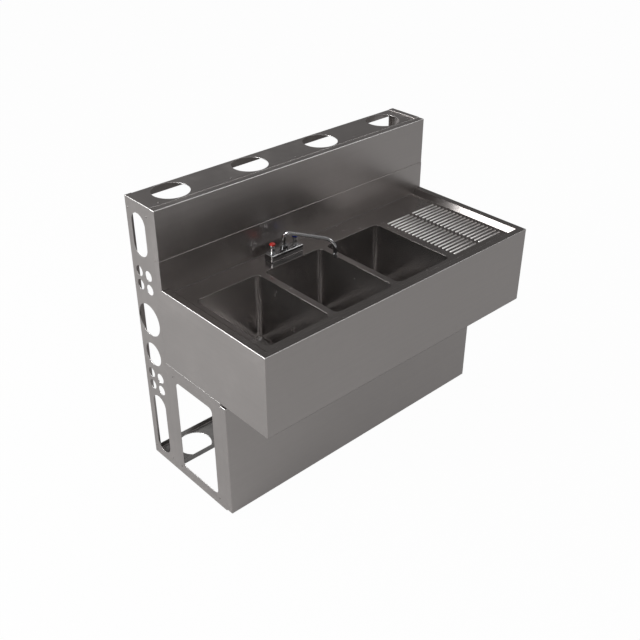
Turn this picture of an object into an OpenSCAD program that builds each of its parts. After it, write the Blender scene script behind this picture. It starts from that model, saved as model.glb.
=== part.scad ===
// Underbar sink on an open service chase: three bowls, a ribbed drainboard and a deck faucet.
// Every piece is placed from the left end, the rear plane and the floor, then centred.

/* [Overall] */
// Width of the unit from end to end
body_w = 1219; // [1170:1:1400]
// Depth from the rear plane to the face of the apron
body_d = 677; // [665:1:760]
// Height of the top of the chase above the floor, which every other level follows
body_h = 1037; // [1015:1:1090]
// Height of the raised rim of the sink above the floor
rim_h = 758; // [745:1:765]
// Thickness of the folded stainless sheet
sheet = 1.5; // [1.2:0.1:2]
// Height of the apron below the rim
apron_h = 292; // [288:1:300]

/* [Chase] */
// Depth of the service chase
chase_d = 137; // [132:1:155]
// Width of the flanges folded inwards along upright edges
flange = 22; // [16:1:24]
// Width of the flanges folded inwards along top edges
top_flange = 25.4; // [20:0.1:30]
// Distance from the rear plane to the centre line of the openings in the ends
port_d = 64; // [62:0.5:68]
// Width of the two long openings in each end
slot_w = 76; // [60:1:80]
// Length of the upper long opening
slot_top_l = 152; // [120:1:160]
// Distance from the top of the chase down to the upper long opening
slot_top_gap = 41; // [38:1:50]
// Length of the lower long opening
slot_low_l = 252; // [200:1:258]
// Distance from the floor up to the lower long opening
slot_low_gap = 34; // [30:1:40]
// Diameter of the large round opening
port_large = 120; // [90:1:122]
// Height of the large round opening
port_large_z = 604; // [590:1:620]
// Diameter of the medium round opening
port_medium = 88; // [60:1:92]
// Height of the medium round opening
port_medium_z = 465; // [455:1:475]
// Diameter of the small line holes
line_hole = 37; // [25:1:40]
// Spacing of the line holes across the chase
line_pitch_d = 53; // [45:1:56]
// Spacing of the line holes up the chase
line_pitch_z = 50.8; // [45:0.1:54]
// Height of the centre of the upper group of line holes
line_top_z = 756; // [745:1:762]
// Height of the centre of the lower group of line holes
line_low_z = 351; // [345:1:355]
// Diameter of the round holes in the top plate and the floor plate
riser_hole = 127; // [100:1:128]
// Number of round holes along each plate
riser_count = 4; // [2:1:4]
// Distance from an end of the unit to the first round hole
riser_first = 128; // [110:1:150]
// Distance from the rear plane to the centres of the round holes
riser_d = 67; // [66:0.5:69]
// Depth of the turned-down rear edge of the top plate
top_drop = 25.4; // [15:0.1:30]
// Height of the turned-up edges of the floor plate
floor_lip = 22; // [12:1:28]
// Height at which the front panel of the chase starts
front_panel_z = 720; // [700:1:730]

/* [Base] */
// Depth of the base in front of the chase
base_d = 327; // [310:1:345]
// Depth of the folded end of the front panel
return_d = 24; // [20:1:28]
// Distance from the window in each end of the base to the end's front edge
window_front = 51; // [46:1:80]
// Height of the window
window_h = 368; // [300:1:374]
// Corner radius of the window
window_r = 18; // [8:1:30]
// Distance from the chase to the window
window_back = 50; // [44:1:56]
// Height of the lower edge of the window
window_z = 45; // [42:1:52]
// Gap under the front panel
foot_gap = 6; // [3:1:12]
// Gap between the front panel and the apron
head_gap = 12; // [6:1:20]
// Width of the foot flanges
foot_flange = 24; // [22:1:26]
// Diameter of the floor anchor holes
anchor_hole = 9; // [6:0.5:10]
// Distance from an end of the unit to its anchor holes
anchor_in = 14; // [12:0.5:15]

/* [Sink top] */
// Width of the flat rim
rim_w = 25.4; // [18:0.1:30]
// Depth of the deck below the rim
recess = 19; // [12:0.5:24]
// Width of the slope between the rim and the deck
slope_run = 18; // [10:0.5:20]
// Thickness of the backsplash box
splash_t = 25.4; // [20:0.1:32]
// Height of the backsplash above the rim
splash_h = 103; // [90:1:120]
// Depth of the lips that the backsplash is fastened by
lip = 12; // [10:0.5:16]
// Radius of the cove between the deck and the backsplash
cove_r = 13; // [6:0.5:16]

/* [Bowls] */
// Inside width of a bowl
bowl_w = 254; // [230:1:262]
// Distance from the bowls to the face of the apron
bowl_front = 64.4; // [56:0.1:90]
// Depth of a bowl below the deck
bowl_depth = 254; // [200:1:262]
// Corner radius of a bowl, upright and along its floor
bowl_r = 19; // [10:0.5:30]
// Width of the deck between two bowls
divider = 25.4; // [18:0.1:32]
// Distance from the left end to the first bowl
bowl_in = 62.5; // [56:0.5:70]
// Distance from the backsplash to the bowls
bowl_back = 94.6; // [88:0.1:98]
// Thickness of the bowl sheet
bowl_sheet = 1.2; // [0.8:0.1:1.8]
// Distance from the drains to the face of the base
drain_front = 80; // [70:1:110]

/* [Drainboard] */
// Number of rows of ribs
rib_rows = 19; // [8:1:21]
// Number of columns of ribs
rib_columns = 2; // [1:1:3]
// Width of a rib
rib_w = 8; // [5:0.1:9]
// Height of a rib
rib_h = 3; // [1.5:0.1:3.6]
// Distance from the last bowl to the ribs
rib_left = 33.5; // [20:0.5:40]
// Distance from the ribs to the right-hand slope
rib_right = 13; // [8:0.5:24]
// Gap between two columns of ribs
rib_gap = 14.6; // [10:0.1:24]
// Distance by which the ribs start in front of the bowls' rear edge
rib_back = 28; // [16:0.5:36]
// Distance by which the ribs end behind the bowls' front edge
rib_front = 9.6; // [6:0.1:20]

/* [Drains] */
// Diameter of a drain flange
drain_flange = 76; // [66:1:84]
// Diameter of the threaded neck
drain_neck = 47; // [44:0.5:50]
// Length of the threaded neck
drain_neck_l = 45; // [40:1:52]
// Outside diameter of a tailpiece
tail_od = 38.1; // [36:0.1:39]
// Wall of a tailpiece
tail_wall = 1.2; // [0.8:0.1:2]
// Length of a tailpiece below its collar
tail_l = 60; // [45:1:65]
// Diameter of a strainer plate
strainer_d = 43; // [40.5:0.5:43]
// Diameter of a strainer perforation
strainer_hole = 4; // [2:0.1:4.4]

/* [Faucet body] */
// Length of the faucet body
faucet_w = 142; // [136:1:160]
// Depth of the faucet body
faucet_d = 41; // [36:1:50]
// Height of the faucet body
faucet_h = 24.5; // [23:0.5:32]
// Corner radius of the faucet body, seen from above
faucet_r = 3; // [1:0.5:8]
// Distance from the backsplash to the centre of the faucet
faucet_back = 50; // [44:0.1:52]
// Spacing of the two valves
valve_pitch = 101.6; // [98:0.1:104]
// Outside diameter of a supply shank
shank_od = 20.6; // [18:0.1:21.4]
// Length of a supply shank below the deck
shank_l = 60; // [40:1:80]

/* [Handles] */
// Diameter of a handle
handle_od = 20; // [17:0.5:23]
// Height of a bonnet above the faucet body
bonnet_h = 18; // [14:0.5:20]
// Height of a handle
handle_h = 11.5; // [11:0.5:16]
// Number of finger grooves round a handle
groove_count = 6; // [3:1:8]
// Radius of a finger groove
groove_r = 2.5; // [1.5:0.1:3]
// Diameter of a coloured cap
cap_od = 21.5; // [18:0.5:24]
// Height of a coloured cap
cap_h = 9; // [6:0.5:11]
// Diameter of a valve stem
stem_od = 8; // [6:0.1:8.4]

/* [Spout] */
// Outside diameter of the spout tube
tube_od = 14; // [13:0.1:16]
// Wall of the spout tube
tube_wall = 1.5; // [1:0.1:2.5]
// Reach of the spout from its axis to its outlet
spout_reach = 184; // [150:1:230]
// Height of the arm's centre line above the deck
spout_h = 87.5; // [84:0.5:120]
// Height of the outlet above the deck
outlet_h = 23; // [18:1:30]
// Bend radius of the spout above its post
post_bend = 16; // [12:0.5:20]
// Bend radius of the spout at its end
end_bend = 38; // [24:0.5:40]
// Angle of the spout at rest, measured from straight ahead
spout_turn = 30; // [-60:1:60]

/* [Hidden] */
$fn = 48;

// Shades of the finishes
brushed = [0.56, 0.55, 0.54];
brushed_dark = [0.36, 0.35, 0.34];
chrome = [0.82, 0.83, 0.85];
rubber_black = [0.12, 0.12, 0.12];
nylon_white = [0.9, 0.9, 0.88];
hot_red = [0.78, 0.12, 0.1];
cold_blue = [0.1, 0.2, 0.7];

// Clearances and the overrun of every cut
over = 1;
seat_gap = 0.5;
run_gap = 0.05;
turn_gap = 0.3;

// Height that the levels above are given for, and how they follow the real one
level_h = 1037;
level_share = body_h / level_h;

// Levels and planes
rim_z = rim_h * level_share;
deck_z = rim_z - recess;
apron_z = rim_z - apron_h * level_share;
seam_z = rim_z + splash_h * level_share;
panel_z = front_panel_z * level_share;
sill_z = window_z * level_share;
splash_d = chase_d + splash_t;
base_front_d = chase_d + base_d;
side_front_d = base_front_d - return_d;
panel_top_z = apron_z - head_gap;
bowl_floor_z = deck_z - bowl_depth;
bowls_d = splash_d + bowl_back;
bowl_l = body_d - bowl_front - bowls_d;
drains_d = base_front_d - drain_front;
window_w = side_front_d - window_front - window_back - chase_d;
bowls_end_x = bowl_in + 3 * bowl_w + 2 * divider;
bowl_pitch = bowl_w + divider;

// Tabs that join the chase plates to the chase ends
tab_l = 40;
tab_w = 22;
tab_front_w = 30;
tab_front_d = chase_d - sheet - tab_front_w - turn_gap;

// Screws
screw_r = 2;
screw_head_r = 3.6;
screw_head_h = 1.5;
screw_l = 8;
screw_fit = 0.1;
screw_rear_d = 12;
screw_front_in = 21;
screw_tab_in = 5;
screw_front_d = chase_d - screw_front_in;
plate_screw_low_z = tab_l - screw_tab_in;
plate_screw_top_z = body_h - sheet - plate_screw_low_z;
top_screw_count = 5;
top_screw_first = 48.5;
top_screw_in = 19;
top_tab_w = 26;
top_tab_d = 30;
splash_screw_count = 4;
panel_screw_shares = [0.25, 0.75];
panel_screw_x = 14;

// Brackets and tabs of the base
bracket_w = 24;
bracket_h = sill_z - sheet - turn_gap;
bracket_z = 32;
bracket_rear_in = 35;
bracket_front_in = 42;
bracket_rear_d = chase_d + bracket_rear_in;
bracket_front_d = side_front_d - bracket_front_in;
apron_tab_w = 24;
apron_tab_l = 50;
apron_screw_drop = 40;
apron_screw_z = apron_z - apron_screw_drop;
toe_clip = 8;
panel_return = 15;

// Stiffening channels under the drainboard
channel_h = 20;
channel_w = 30;
channel_foot = 12;
channel_shares = [0.3, 0.7];
channel_back = 20;
channel_front = 12;

// Drain details
drain_flange_h = 2.5;
drain_bore_r = tail_od / 2 - tail_wall;
drain_hole_r = drain_neck / 2 + seat_gap;
drain_gasket_h = 3;
drain_gasket_lip = 10;
drain_gasket_r = drain_neck / 2 + drain_gasket_lip;
locknut_wall = 12;
locknut_r = drain_neck / 2 + locknut_wall;
locknut_h = 10;
coupling_h = 26;
coupling_wall = 6;
coupling_r = drain_neck / 2 + coupling_wall;
coupling_cover = 14;
collar_h = 3;
coupling_low = -drain_neck_l + coupling_cover - coupling_h;
relief_w = 2;
relief_cut = 0.4;
strainer_h = 1.5;
strainer_depth = 3;
strainer_bar = 8;
strainer_bar_h = 4;
strainer_ring_shares = [0.45, 0.78];
strainer_ring_counts = [6, 12];
strainer_screw_r = 2;
strainer_head_r = 3.4;
strainer_head_h = 1.6;
strainer_screw_l = 8;

// Faucet details
faucet_x = bowl_in + 1.5 * bowl_w + divider;
faucet_y = -(splash_d + faucet_back);
gasket_h = 1.5;
gasket_inset = 1;
body_z = deck_z + gasket_h;
body_top_z = body_z + faucet_h;
shank_wall = 3.8;
shank_seat = 8;
shank_web = 3;
shank_port_r = 4;
shank_washer_h = 2;
shank_washer_lip = 8;
shank_washer_r = shank_od / 2 + shank_washer_lip;
shank_nut_h = 9;
shank_nut_z = deck_z - sheet - shank_washer_h - shank_nut_h;
shank_nut_wall = 6.5;
shank_nut_r = shank_od / 2 + shank_nut_wall;
pocket_r = 11;
pocket_z = body_z + shank_seat + shank_web;
waterway_r = 2.5;
bonnet_r = 11.5;
bonnet_lip_h = 2;
bonnet_neck_r = 7.5;
bonnet_flare_shares = [0.3, 0.7];
bonnet_waist_share = 0.35;
bonnet_plug_l = 8;
disc_r = 8;
disc_h = 3;
handle_gap = 1;
handle_z = body_top_z + bonnet_h + handle_gap;
handle_top_z = handle_z + handle_h;
handle_waist_share = 0.86;
handle_band_share = 1 / 3;
groove_share = 2 / 3;
handle_web = 2;
cup_r = 5;
cup_d = 5;
stem_top_z = handle_top_z - cup_d - handle_web;
knob_screw_r = 2;
knob_head_r = 3.6;
knob_head_h = 2.4;
knob_screw_l = 7;
cap_peg_h = 2;
cap_crown_share = 0.45;

// Spout details
tube_r = tube_od / 2;
bore_r = tube_r - tube_wall;
boss_wall = 4.5;
boss_r = tube_r + boss_wall;
boss_h = 7;
sleeve_wall = 1.5;
sleeve_r = tube_r + sleeve_wall;
sleeve_l = 14;
seal_r = 1;
seal_up = 5;
collar_inset = 1.5;
collar_r = boss_r - collar_inset;
spout_collar_h = 3;
washer_h = 1.5;
nut_wall = 2.6;
nut_flat_share = 0.8;
nut_start = 1;
nut_top_h = 4;
arm_z = deck_z + spout_h;
outlet_z = deck_z + outlet_h;
aerator_wall = 1.5;
aerator_r = tube_r + aerator_wall;
aerator_h = 16;
aerator_cover = 6;
aerator_lip = 2;
insert_h = 3;
insert_hole_r = 0.9;
insert_ring_share = 0.6;
insert_ring_count = 8;
boss_top_z = body_top_z + boss_h;
collar_top_z = boss_top_z + run_gap + spout_collar_h;
washer_top_z = collar_top_z + run_gap + washer_h;

// Frame and repeats

// Moves the rear left corner frame to the middle of the unit
module in_frame() translate([-body_w / 2, body_d / 2, 0]) children();

// Turns a left-hand piece into its right-hand twin
module right_hand() translate([body_w, 0, 0]) mirror([1, 0, 0]) children();

// Both hands of a piece
module both_hands() {
    children();
    right_hand() children();
}

// Block between two widths, two depths from the rear plane and two heights
module slab(x, d, z) {
    translate([x[0], -d[1], z[0]]) cube([x[1] - x[0], d[1] - d[0], z[1] - z[0]]);
}

// Flat outline with four round corners, its lower left corner at zero
module round_rect(w, h, r) {
    translate([r, 0]) square([w - 2 * r, h]);
    translate([0, r]) square([w, h - 2 * r]);
    for (x = [r, w - r], y = [r, h - r]) translate([x, y]) circle(r);
}

// Flat outline with two round corners at its foot
module cup_outline(w, h, r) {
    translate([r, 0]) square([w - 2 * r, h]);
    translate([0, r]) square([w, h - r]);
    for (x = [r, w - r]) translate([x, r]) circle(r);
}

// Round hole through an end sheet
module end_drill(d, z, r) {
    translate([-over, -d, z]) rotate([0, 90, 0]) cylinder(r = r, h = 2 * sheet + 2 * over);
}

// Long hole with round ends through an end sheet
module end_slot(d, z, w, l) {
    for (c = [z + w / 2, z + l - w / 2]) end_drill(d, c, w / 2);
    slab([-over, sheet + over], [d - w / 2, d + w / 2], [z + w / 2, z + l - w / 2]);
}

// Round hole along the depth of the unit
module depth_drill(x, d, z, r) {
    translate([x, -d + 2 * sheet + over, z]) rotate([90, 0, 0]) cylinder(r = r, h = 4 * sheet + 2 * over);
}

// Screw with a low domed head that faces up
module screw() {
    dome_r = (screw_head_r * screw_head_r + screw_head_h * screw_head_h) / (2 * screw_head_h);
    rotate_extrude() {
        translate([0, -screw_l]) square([screw_r, screw_l]);
        intersection() {
            translate([0, screw_head_h - dome_r]) circle(dome_r, $fn = 96);
            square([screw_head_r, screw_head_h]);
        }
    }
}

// Tube or ring standing on a level
module ring(z, h, outer, inner) {
    translate([0, 0, z]) difference() {
        cylinder(r = outer, h = h);
        translate([0, 0, -over]) cylinder(r = inner, h = h + 2 * over);
    }
}

// Shallow groove round a tube, below a level
module relief(z, r) {
    ring(z - relief_w, relief_w, r + over, r - relief_cut);
}

// Hexagonal nut with a smooth bore
module hex_nut(z, h, outer, inner) {
    translate([0, 0, z]) difference() {
        cylinder(r = outer, h = h, $fn = 6);
        translate([0, 0, -over]) cylinder(r = inner, h = h + 2 * over);
    }
}

// Chase

module line_group(z) {
    for (a = [-0.5, 0.5], b = [-0.5, 0.5]) {
        end_drill(port_d + a * line_pitch_d, z + b * line_pitch_z, line_hole / 2);
    }
}

module chase_side() {
    upper_l = slot_top_l * level_share;
    upper_z = body_h - slot_top_gap * level_share - upper_l;
    color(brushed) difference() {
        union() {
            slab([0, sheet], [0, chase_d], [0, body_h]);
            slab([0, top_flange], [0, chase_d], [body_h - sheet, body_h]);
            slab([0, flange], [0, sheet], [sheet, body_h - 2 * sheet]);
            slab([0, flange], [chase_d - sheet, chase_d], [sheet, panel_z]);
        }
        end_slot(port_d, upper_z, slot_w, upper_l);
        end_slot(port_d, slot_low_gap * level_share, slot_w, slot_low_l * level_share);
        end_drill(port_d, port_large_z * level_share, port_large / 2);
        end_drill(port_d, port_medium_z * level_share, port_medium / 2);
        line_group(line_top_z * level_share);
        line_group(line_low_z * level_share);
        chase_screw_places() end_drill(0, 0, screw_r + screw_fit);
    }
}

// Places of the screws in one end of the chase, on the end's outer face
module chase_screw_places() {
    for (d = [screw_rear_d, screw_front_d], z = [plate_screw_low_z, plate_screw_top_z]) {
        translate([0, -d, z]) children();
    }
}

module chase_side_left() in_frame() chase_side();

module chase_side_right() in_frame() right_hand() chase_side();

// Tabs at one end of a plate, between two heights
module plate_tabs(z) {
    slab([sheet, 2 * sheet], [sheet + turn_gap, sheet + turn_gap + tab_w], z);
    slab([sheet, 2 * sheet], [tab_front_d, tab_front_d + tab_front_w], z);
}

// Round holes along a chase plate
module riser_holes(z) {
    pitch = (body_w - 2 * riser_first) / (riser_count - 1);
    for (i = [0 : riser_count - 1]) {
        translate([riser_first + i * pitch, -riser_d, z - over]) {
            cylinder(r = riser_hole / 2, h = sheet + 2 * over);
        }
    }
}

// Places of the screws along the front edge of the top plate, on its upper face
module top_screw_places() {
    pitch = (body_w - 2 * top_screw_first) / (top_screw_count - 1);
    for (i = [0 : top_screw_count - 1]) {
        translate([top_screw_first + i * pitch, -(chase_d - top_screw_in), body_h - sheet]) children();
    }
}

// Screw holes down through the top plate and the tabs below it
module top_screw_holes() {
    top_screw_places() translate([0, 0, -2 * sheet - over]) {
        cylinder(r = screw_r + screw_fit, h = 2 * sheet + 2 * over);
    }
}

module chase_top_plate() {
    z = body_h - 2 * sheet;
    color(brushed) in_frame() difference() {
        union() {
            slab([sheet, body_w - sheet], [0, chase_d], [z, z + sheet]);
            slab([flange + seat_gap, body_w - flange - seat_gap], [0, sheet], [z - top_drop, z]);
            both_hands() plate_tabs([z - tab_l, z]);
        }
        riser_holes(z);
        top_screw_holes();
        both_hands() chase_screw_places() end_drill(0, 0, screw_r + screw_fit);
    }
}

module chase_floor_plate() {
    color(brushed) in_frame() difference() {
        union() {
            slab([sheet, body_w - sheet], [0, chase_d], [0, sheet]);
            for (d = [0, chase_d - sheet]) {
                slab([flange + seat_gap, body_w - flange - seat_gap], [d, d + sheet], [0, floor_lip]);
            }
            both_hands() plate_tabs([0, tab_l]);
        }
        riser_holes(0);
        both_hands() chase_screw_places() end_drill(0, 0, screw_r + screw_fit);
    }
}

// Places of the screws that hold the backsplash and the riser, on the chase front panel
module splash_screw_places() {
    pitch = body_w / splash_screw_count;
    for (i = [0 : splash_screw_count - 1], z = [seam_z - sheet - lip / 2, body_h - 3 * sheet - lip / 2]) {
        translate([(i + 0.5) * pitch, -chase_d, z]) children();
    }
}

module chase_front_panel() {
    x = [sheet, body_w - sheet];
    color(brushed_dark) in_frame() difference() {
        union() {
            slab(x, [chase_d - sheet, chase_d], [panel_z, body_h - 2 * sheet]);
            slab(x, [chase_d - panel_return, chase_d], [panel_z, panel_z + sheet]);
            intersection() {
                top_screw_places() translate([-top_tab_w / 2, -top_screw_in - over, -2 * sheet]) {
                    cube([top_tab_w, top_tab_d + over, sheet]);
                }
                slab([0, body_w], [0, chase_d], [0, body_h]);
            }
        }
        top_screw_holes();
        splash_screw_places() depth_drill(0, 0, 0, screw_r + screw_fit);
    }
}

// Sink

module riser_panel() {
    top = body_h - sheet;
    color(brushed) in_frame() difference() {
        union() {
            slab([0, body_w], [splash_d - sheet, splash_d], [seam_z, top]);
            slab([0, body_w], [chase_d, splash_d], [top - sheet, top]);
            slab([0, body_w], [chase_d, splash_d], [seam_z, seam_z + sheet]);
            slab([sheet, body_w - sheet], [chase_d, chase_d + sheet], [top - sheet - lip, top]);
            both_hands() slab([0, sheet], [chase_d, splash_d], [seam_z, top]);
        }
        splash_screw_places() depth_drill(0, 0, 0, screw_r + screw_fit);
    }
}

// Sunken tray inside the rim, grown outwards and downwards by one sheet for its outer skin
module tray(grow, drop, up) {
    edge = rim_w - grow;
    foot = edge + slope_run * (recess + drop) / recess;
    rear = splash_d - drop;
    intersection() {
        rotate([90, 0, 0]) linear_extrude(height = body_d) polygon([
            [edge, rim_z + up], [edge, rim_z], [foot, deck_z - drop],
            [body_w - foot, deck_z - drop], [body_w - edge, rim_z], [body_w - edge, rim_z + up]
        ]);
        rotate([90, 0, 90]) linear_extrude(height = body_w) polygon([
            [-rear, rim_z + up], [-rear, deck_z - drop], [-(body_d - foot), deck_z - drop],
            [-(body_d - edge), rim_z], [-(body_d - edge), rim_z + up]
        ]);
    }
}

// Concave fillet along the foot of the backsplash
module splash_cove() {
    intersection() {
        translate([0, -splash_d - cove_r, deck_z]) rotate([90, 0, 90]) linear_extrude(height = body_w) {
            difference() {
                translate([0, -sheet / 2]) square([cove_r + sheet / 2, cove_r + sheet / 2]);
                translate([0, cove_r]) circle(cove_r);
            }
        }
        tray(0, sheet / 2, 0);
    }
}

// One pressed rib with round ends, along the width of the unit
module rib(l) {
    r = (rib_w * rib_w / 4 + rib_h * rib_h) / (2 * rib_h);
    translate([r, 0, rib_h - r]) {
        rotate([0, 90, 0]) cylinder(r = r, h = l - 2 * r);
        sphere(r);
        translate([l - 2 * r, 0, 0]) sphere(r);
    }
}

module ribs() {
    board = body_w - rim_w - slope_run - rib_right - bowls_end_x - rib_left;
    l = (board - (rib_columns - 1) * rib_gap) / rib_columns;
    pitch = (bowl_l - rib_back - rib_front) / (rib_rows - 1);
    for (i = [0 : rib_columns - 1], j = [0 : rib_rows - 1]) {
        x = bowls_end_x + rib_left + i * (l + rib_gap);
        translate([x, -(bowls_d + rib_back + j * pitch), deck_z]) rib(l);
    }
}

module sink_deck() {
    wall_run = sheet / sin(atan2(recess, slope_run));
    color(brushed_dark) in_frame() difference() {
        union() {
            difference() {
                union() {
                    slab([0, body_w], [splash_d - sheet, body_d], [rim_z - sheet, rim_z]);
                    tray(wall_run, sheet, 0);
                    slab([0, body_w], [splash_d - sheet, splash_d], [rim_z - sheet, seam_z]);
                    slab([sheet, body_w - sheet], [splash_d - sheet, splash_d], [deck_z - sheet, rim_z]);
                }
                tray(0, 0, over);
            }
            slab([0, body_w], [chase_d, splash_d], [seam_z - sheet, seam_z]);
            slab([sheet, body_w - sheet], [chase_d, chase_d + sheet], [seam_z - sheet - lip, seam_z - sheet]);
            splash_cove();
            intersection() {
                ribs();
                slab([bowls_end_x, body_w], [splash_d, body_d], [deck_z - sheet / 2, rim_z]);
            }
        }
        for (i = [0 : 2]) {
            translate([bowl_in + i * bowl_pitch, -bowls_d - bowl_l, deck_z - sheet - over]) {
                linear_extrude(height = sheet + 2 * over) round_rect(bowl_w, bowl_l, bowl_r);
            }
        }
        for (s = [-0.5, 0.5]) {
            translate([faucet_x + s * valve_pitch, faucet_y, deck_z - sheet - over]) {
                cylinder(r = shank_od / 2 + seat_gap, h = sheet + 2 * over);
            }
        }
        splash_screw_places() depth_drill(0, 0, 0, screw_r + screw_fit);
    }
}

module apron_front() {
    color(brushed) in_frame() {
        slab([0, body_w], [body_d - sheet, body_d], [apron_z, rim_z - sheet]);
        slab([top_flange + seat_gap, body_w - top_flange - seat_gap], [body_d - top_flange, body_d],
             [apron_z, apron_z + sheet]);
    }
}

module apron_end() {
    color(brushed) difference() {
        union() {
            slab([0, sheet], [chase_d, body_d - sheet], [apron_z, rim_z - sheet]);
            slab([0, sheet], [chase_d, splash_d - sheet], [apron_z, seam_z - sheet]);
            slab([0, top_flange], [chase_d, body_d - sheet], [apron_z, apron_z + sheet]);
            slab([sheet, 2 * sheet], [bracket_rear_d - apron_tab_w / 2, bracket_rear_d + apron_tab_w / 2],
                 [apron_z - apron_tab_l, apron_z + sheet]);
        }
        end_drill(bracket_rear_d, apron_screw_z, screw_r + screw_fit);
    }
}

module apron_left() in_frame() apron_end();

module apron_right() in_frame() right_hand() apron_end();

// Solid block with the shape of a bowl: round corners and a round-edged floor
module bowl_block(w, l, h, r) {
    intersection() {
        linear_extrude(height = h) round_rect(w, l, r);
        translate([0, l, 0]) rotate([90, 0, 0]) linear_extrude(height = l) cup_outline(w, h, r);
        rotate([90, 0, 90]) linear_extrude(height = w) cup_outline(l, h, r);
    }
}

module bowl(i) {
    h = bowl_depth - sheet;
    t = bowl_sheet;
    drain_y = bowls_d + bowl_l - drains_d;
    corner = [bowl_in + i * bowl_pitch, -bowls_d - bowl_l, bowl_floor_z];
    color(brushed_dark) in_frame() translate(corner) difference() {
        translate([-t, -t, -t]) bowl_block(bowl_w + 2 * t, bowl_l + 2 * t, h + t, bowl_r + t);
        bowl_block(bowl_w, bowl_l, h + over, bowl_r);
        translate([bowl_w / 2, drain_y, -t - over]) cylinder(r = drain_hole_r, h = t + 2 * over);
    }
}

module bowl_left() bowl(0);

module bowl_middle() bowl(1);

module bowl_right() bowl(2);

// Hat-section channels that stiffen the drainboard
module deck_channels() {
    board_w = body_w - rim_w - slope_run - bowls_end_x;
    top = deck_z - sheet;
    depth = [splash_d + channel_back, body_d - rim_w - slope_run - channel_front];
    color(brushed_dark) in_frame() for (s = channel_shares) translate([bowls_end_x + s * board_w, 0, 0]) {
        slab([-channel_w / 2, channel_w / 2], depth, [top - channel_h, top - channel_h + sheet]);
        for (m = [0, 1]) mirror([m, 0, 0]) {
            slab([channel_w / 2 - sheet, channel_w / 2], depth, [top - channel_h, top]);
            slab([channel_w / 2 - sheet, channel_w / 2 + channel_foot], depth, [top - sheet, top]);
        }
    }
}

// Base

// Places of the screws in one end of the base, on the end's outer face
module base_screw_places() {
    translate([0, -bracket_rear_d, apron_screw_z]) children();
    for (d = [bracket_rear_d, bracket_front_d]) translate([0, -d, bracket_z]) children();
}

// Places of the anchor holes at one end of the base
module anchor_places() {
    for (d = [bracket_rear_d, bracket_front_d]) {
        translate([anchor_in, -d, -over]) cylinder(r = anchor_hole / 2, h = 2 * sheet + 2 * over);
    }
}

// Places of the screws between one end of the base and the front panel
module panel_screw_places() {
    for (s = panel_screw_shares) {
        translate([panel_screw_x, -side_front_d, foot_gap + s * (panel_top_z - foot_gap)]) children();
    }
}

module base_side() {
    color(brushed) difference() {
        union() {
            slab([0, sheet], [chase_d, side_front_d], [0, apron_z]);
            slab([0, top_flange], [chase_d, side_front_d], [apron_z - sheet, apron_z]);
            slab([0, foot_flange], [chase_d, side_front_d - toe_clip], [0, sheet]);
            slab([0, flange], [chase_d, chase_d + sheet], [0, apron_z]);
            slab([0, flange], [side_front_d - sheet, side_front_d], [foot_gap, apron_z]);
        }
        translate([-over, -chase_d - window_back - window_w, sill_z]) rotate([90, 0, 90]) {
            linear_extrude(height = sheet + 2 * over) round_rect(window_w, window_h * level_share, window_r);
        }
        translate([-over, -side_front_d, 0]) rotate([90, 0, 90]) linear_extrude(height = sheet + 2 * over) {
            polygon([[-over, -over], [toe_clip, -over], [toe_clip, 0], [0, foot_gap], [-over, foot_gap]]);
        }
        slab([sheet, 2 * sheet + seat_gap],
             [bracket_rear_d - apron_tab_w / 2 - seat_gap, bracket_rear_d + apron_tab_w / 2 + seat_gap],
             [apron_z - sheet - over, apron_z + over]);
        base_screw_places() end_drill(0, 0, screw_r + screw_fit);
        anchor_places();
        panel_screw_places() depth_drill(0, 0, 0, screw_r + screw_fit);
    }
}

module base_side_left() in_frame() base_side();

module base_side_right() in_frame() right_hand() base_side();

module base_front_panel() {
    z = [foot_gap, panel_top_z];
    color(brushed) in_frame() difference() {
        union() {
            slab([0, body_w], [base_front_d - sheet, base_front_d], z);
            slab([0, body_w], [side_front_d, base_front_d], [panel_top_z - sheet, panel_top_z]);
            slab([0, body_w], [side_front_d, base_front_d], [foot_gap, foot_gap + sheet]);
            both_hands() {
                slab([0, sheet], [side_front_d, base_front_d], z);
                slab([0, flange], [side_front_d, side_front_d + sheet], z);
            }
        }
        both_hands() panel_screw_places() depth_drill(0, 0, 0, screw_r + screw_fit);
    }
}

module floor_bracket(d) {
    difference() {
        union() {
            slab([sheet, 2 * sheet], [d - bracket_w / 2, d + bracket_w / 2], [sheet, bracket_h]);
            slab([sheet, foot_flange], [d - bracket_w / 2, d + bracket_w / 2], [sheet, 2 * sheet]);
        }
        anchor_places();
        base_screw_places() end_drill(0, 0, screw_r + screw_fit);
    }
}

module floor_brackets() {
    color(brushed_dark) in_frame() both_hands() {
        for (d = [bracket_rear_d, bracket_front_d]) floor_bracket(d);
    }
}

// Screws

module chase_screws() {
    color(chrome) in_frame() both_hands() chase_screw_places() rotate([0, -90, 0]) screw();
}

module top_screws() {
    color(chrome) in_frame() top_screw_places() screw();
}

module base_screws() {
    color(chrome) in_frame() both_hands() base_screw_places() rotate([0, -90, 0]) screw();
}

module splash_screws() {
    color(chrome) in_frame() splash_screw_places() translate([0, sheet, 0]) rotate([-90, 0, 0]) screw();
}

module panel_screws() {
    color(chrome) in_frame() both_hands() panel_screw_places() {
        translate([0, sheet, 0]) rotate([-90, 0, 0]) screw();
    }
}

// Drains

// The three drain axes, at the level of the bowls' floors
module drain_places() {
    in_frame() for (i = [0 : 2]) {
        translate([bowl_in + i * bowl_pitch + bowl_w / 2, -drains_d, bowl_floor_z]) children();
    }
}

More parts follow.
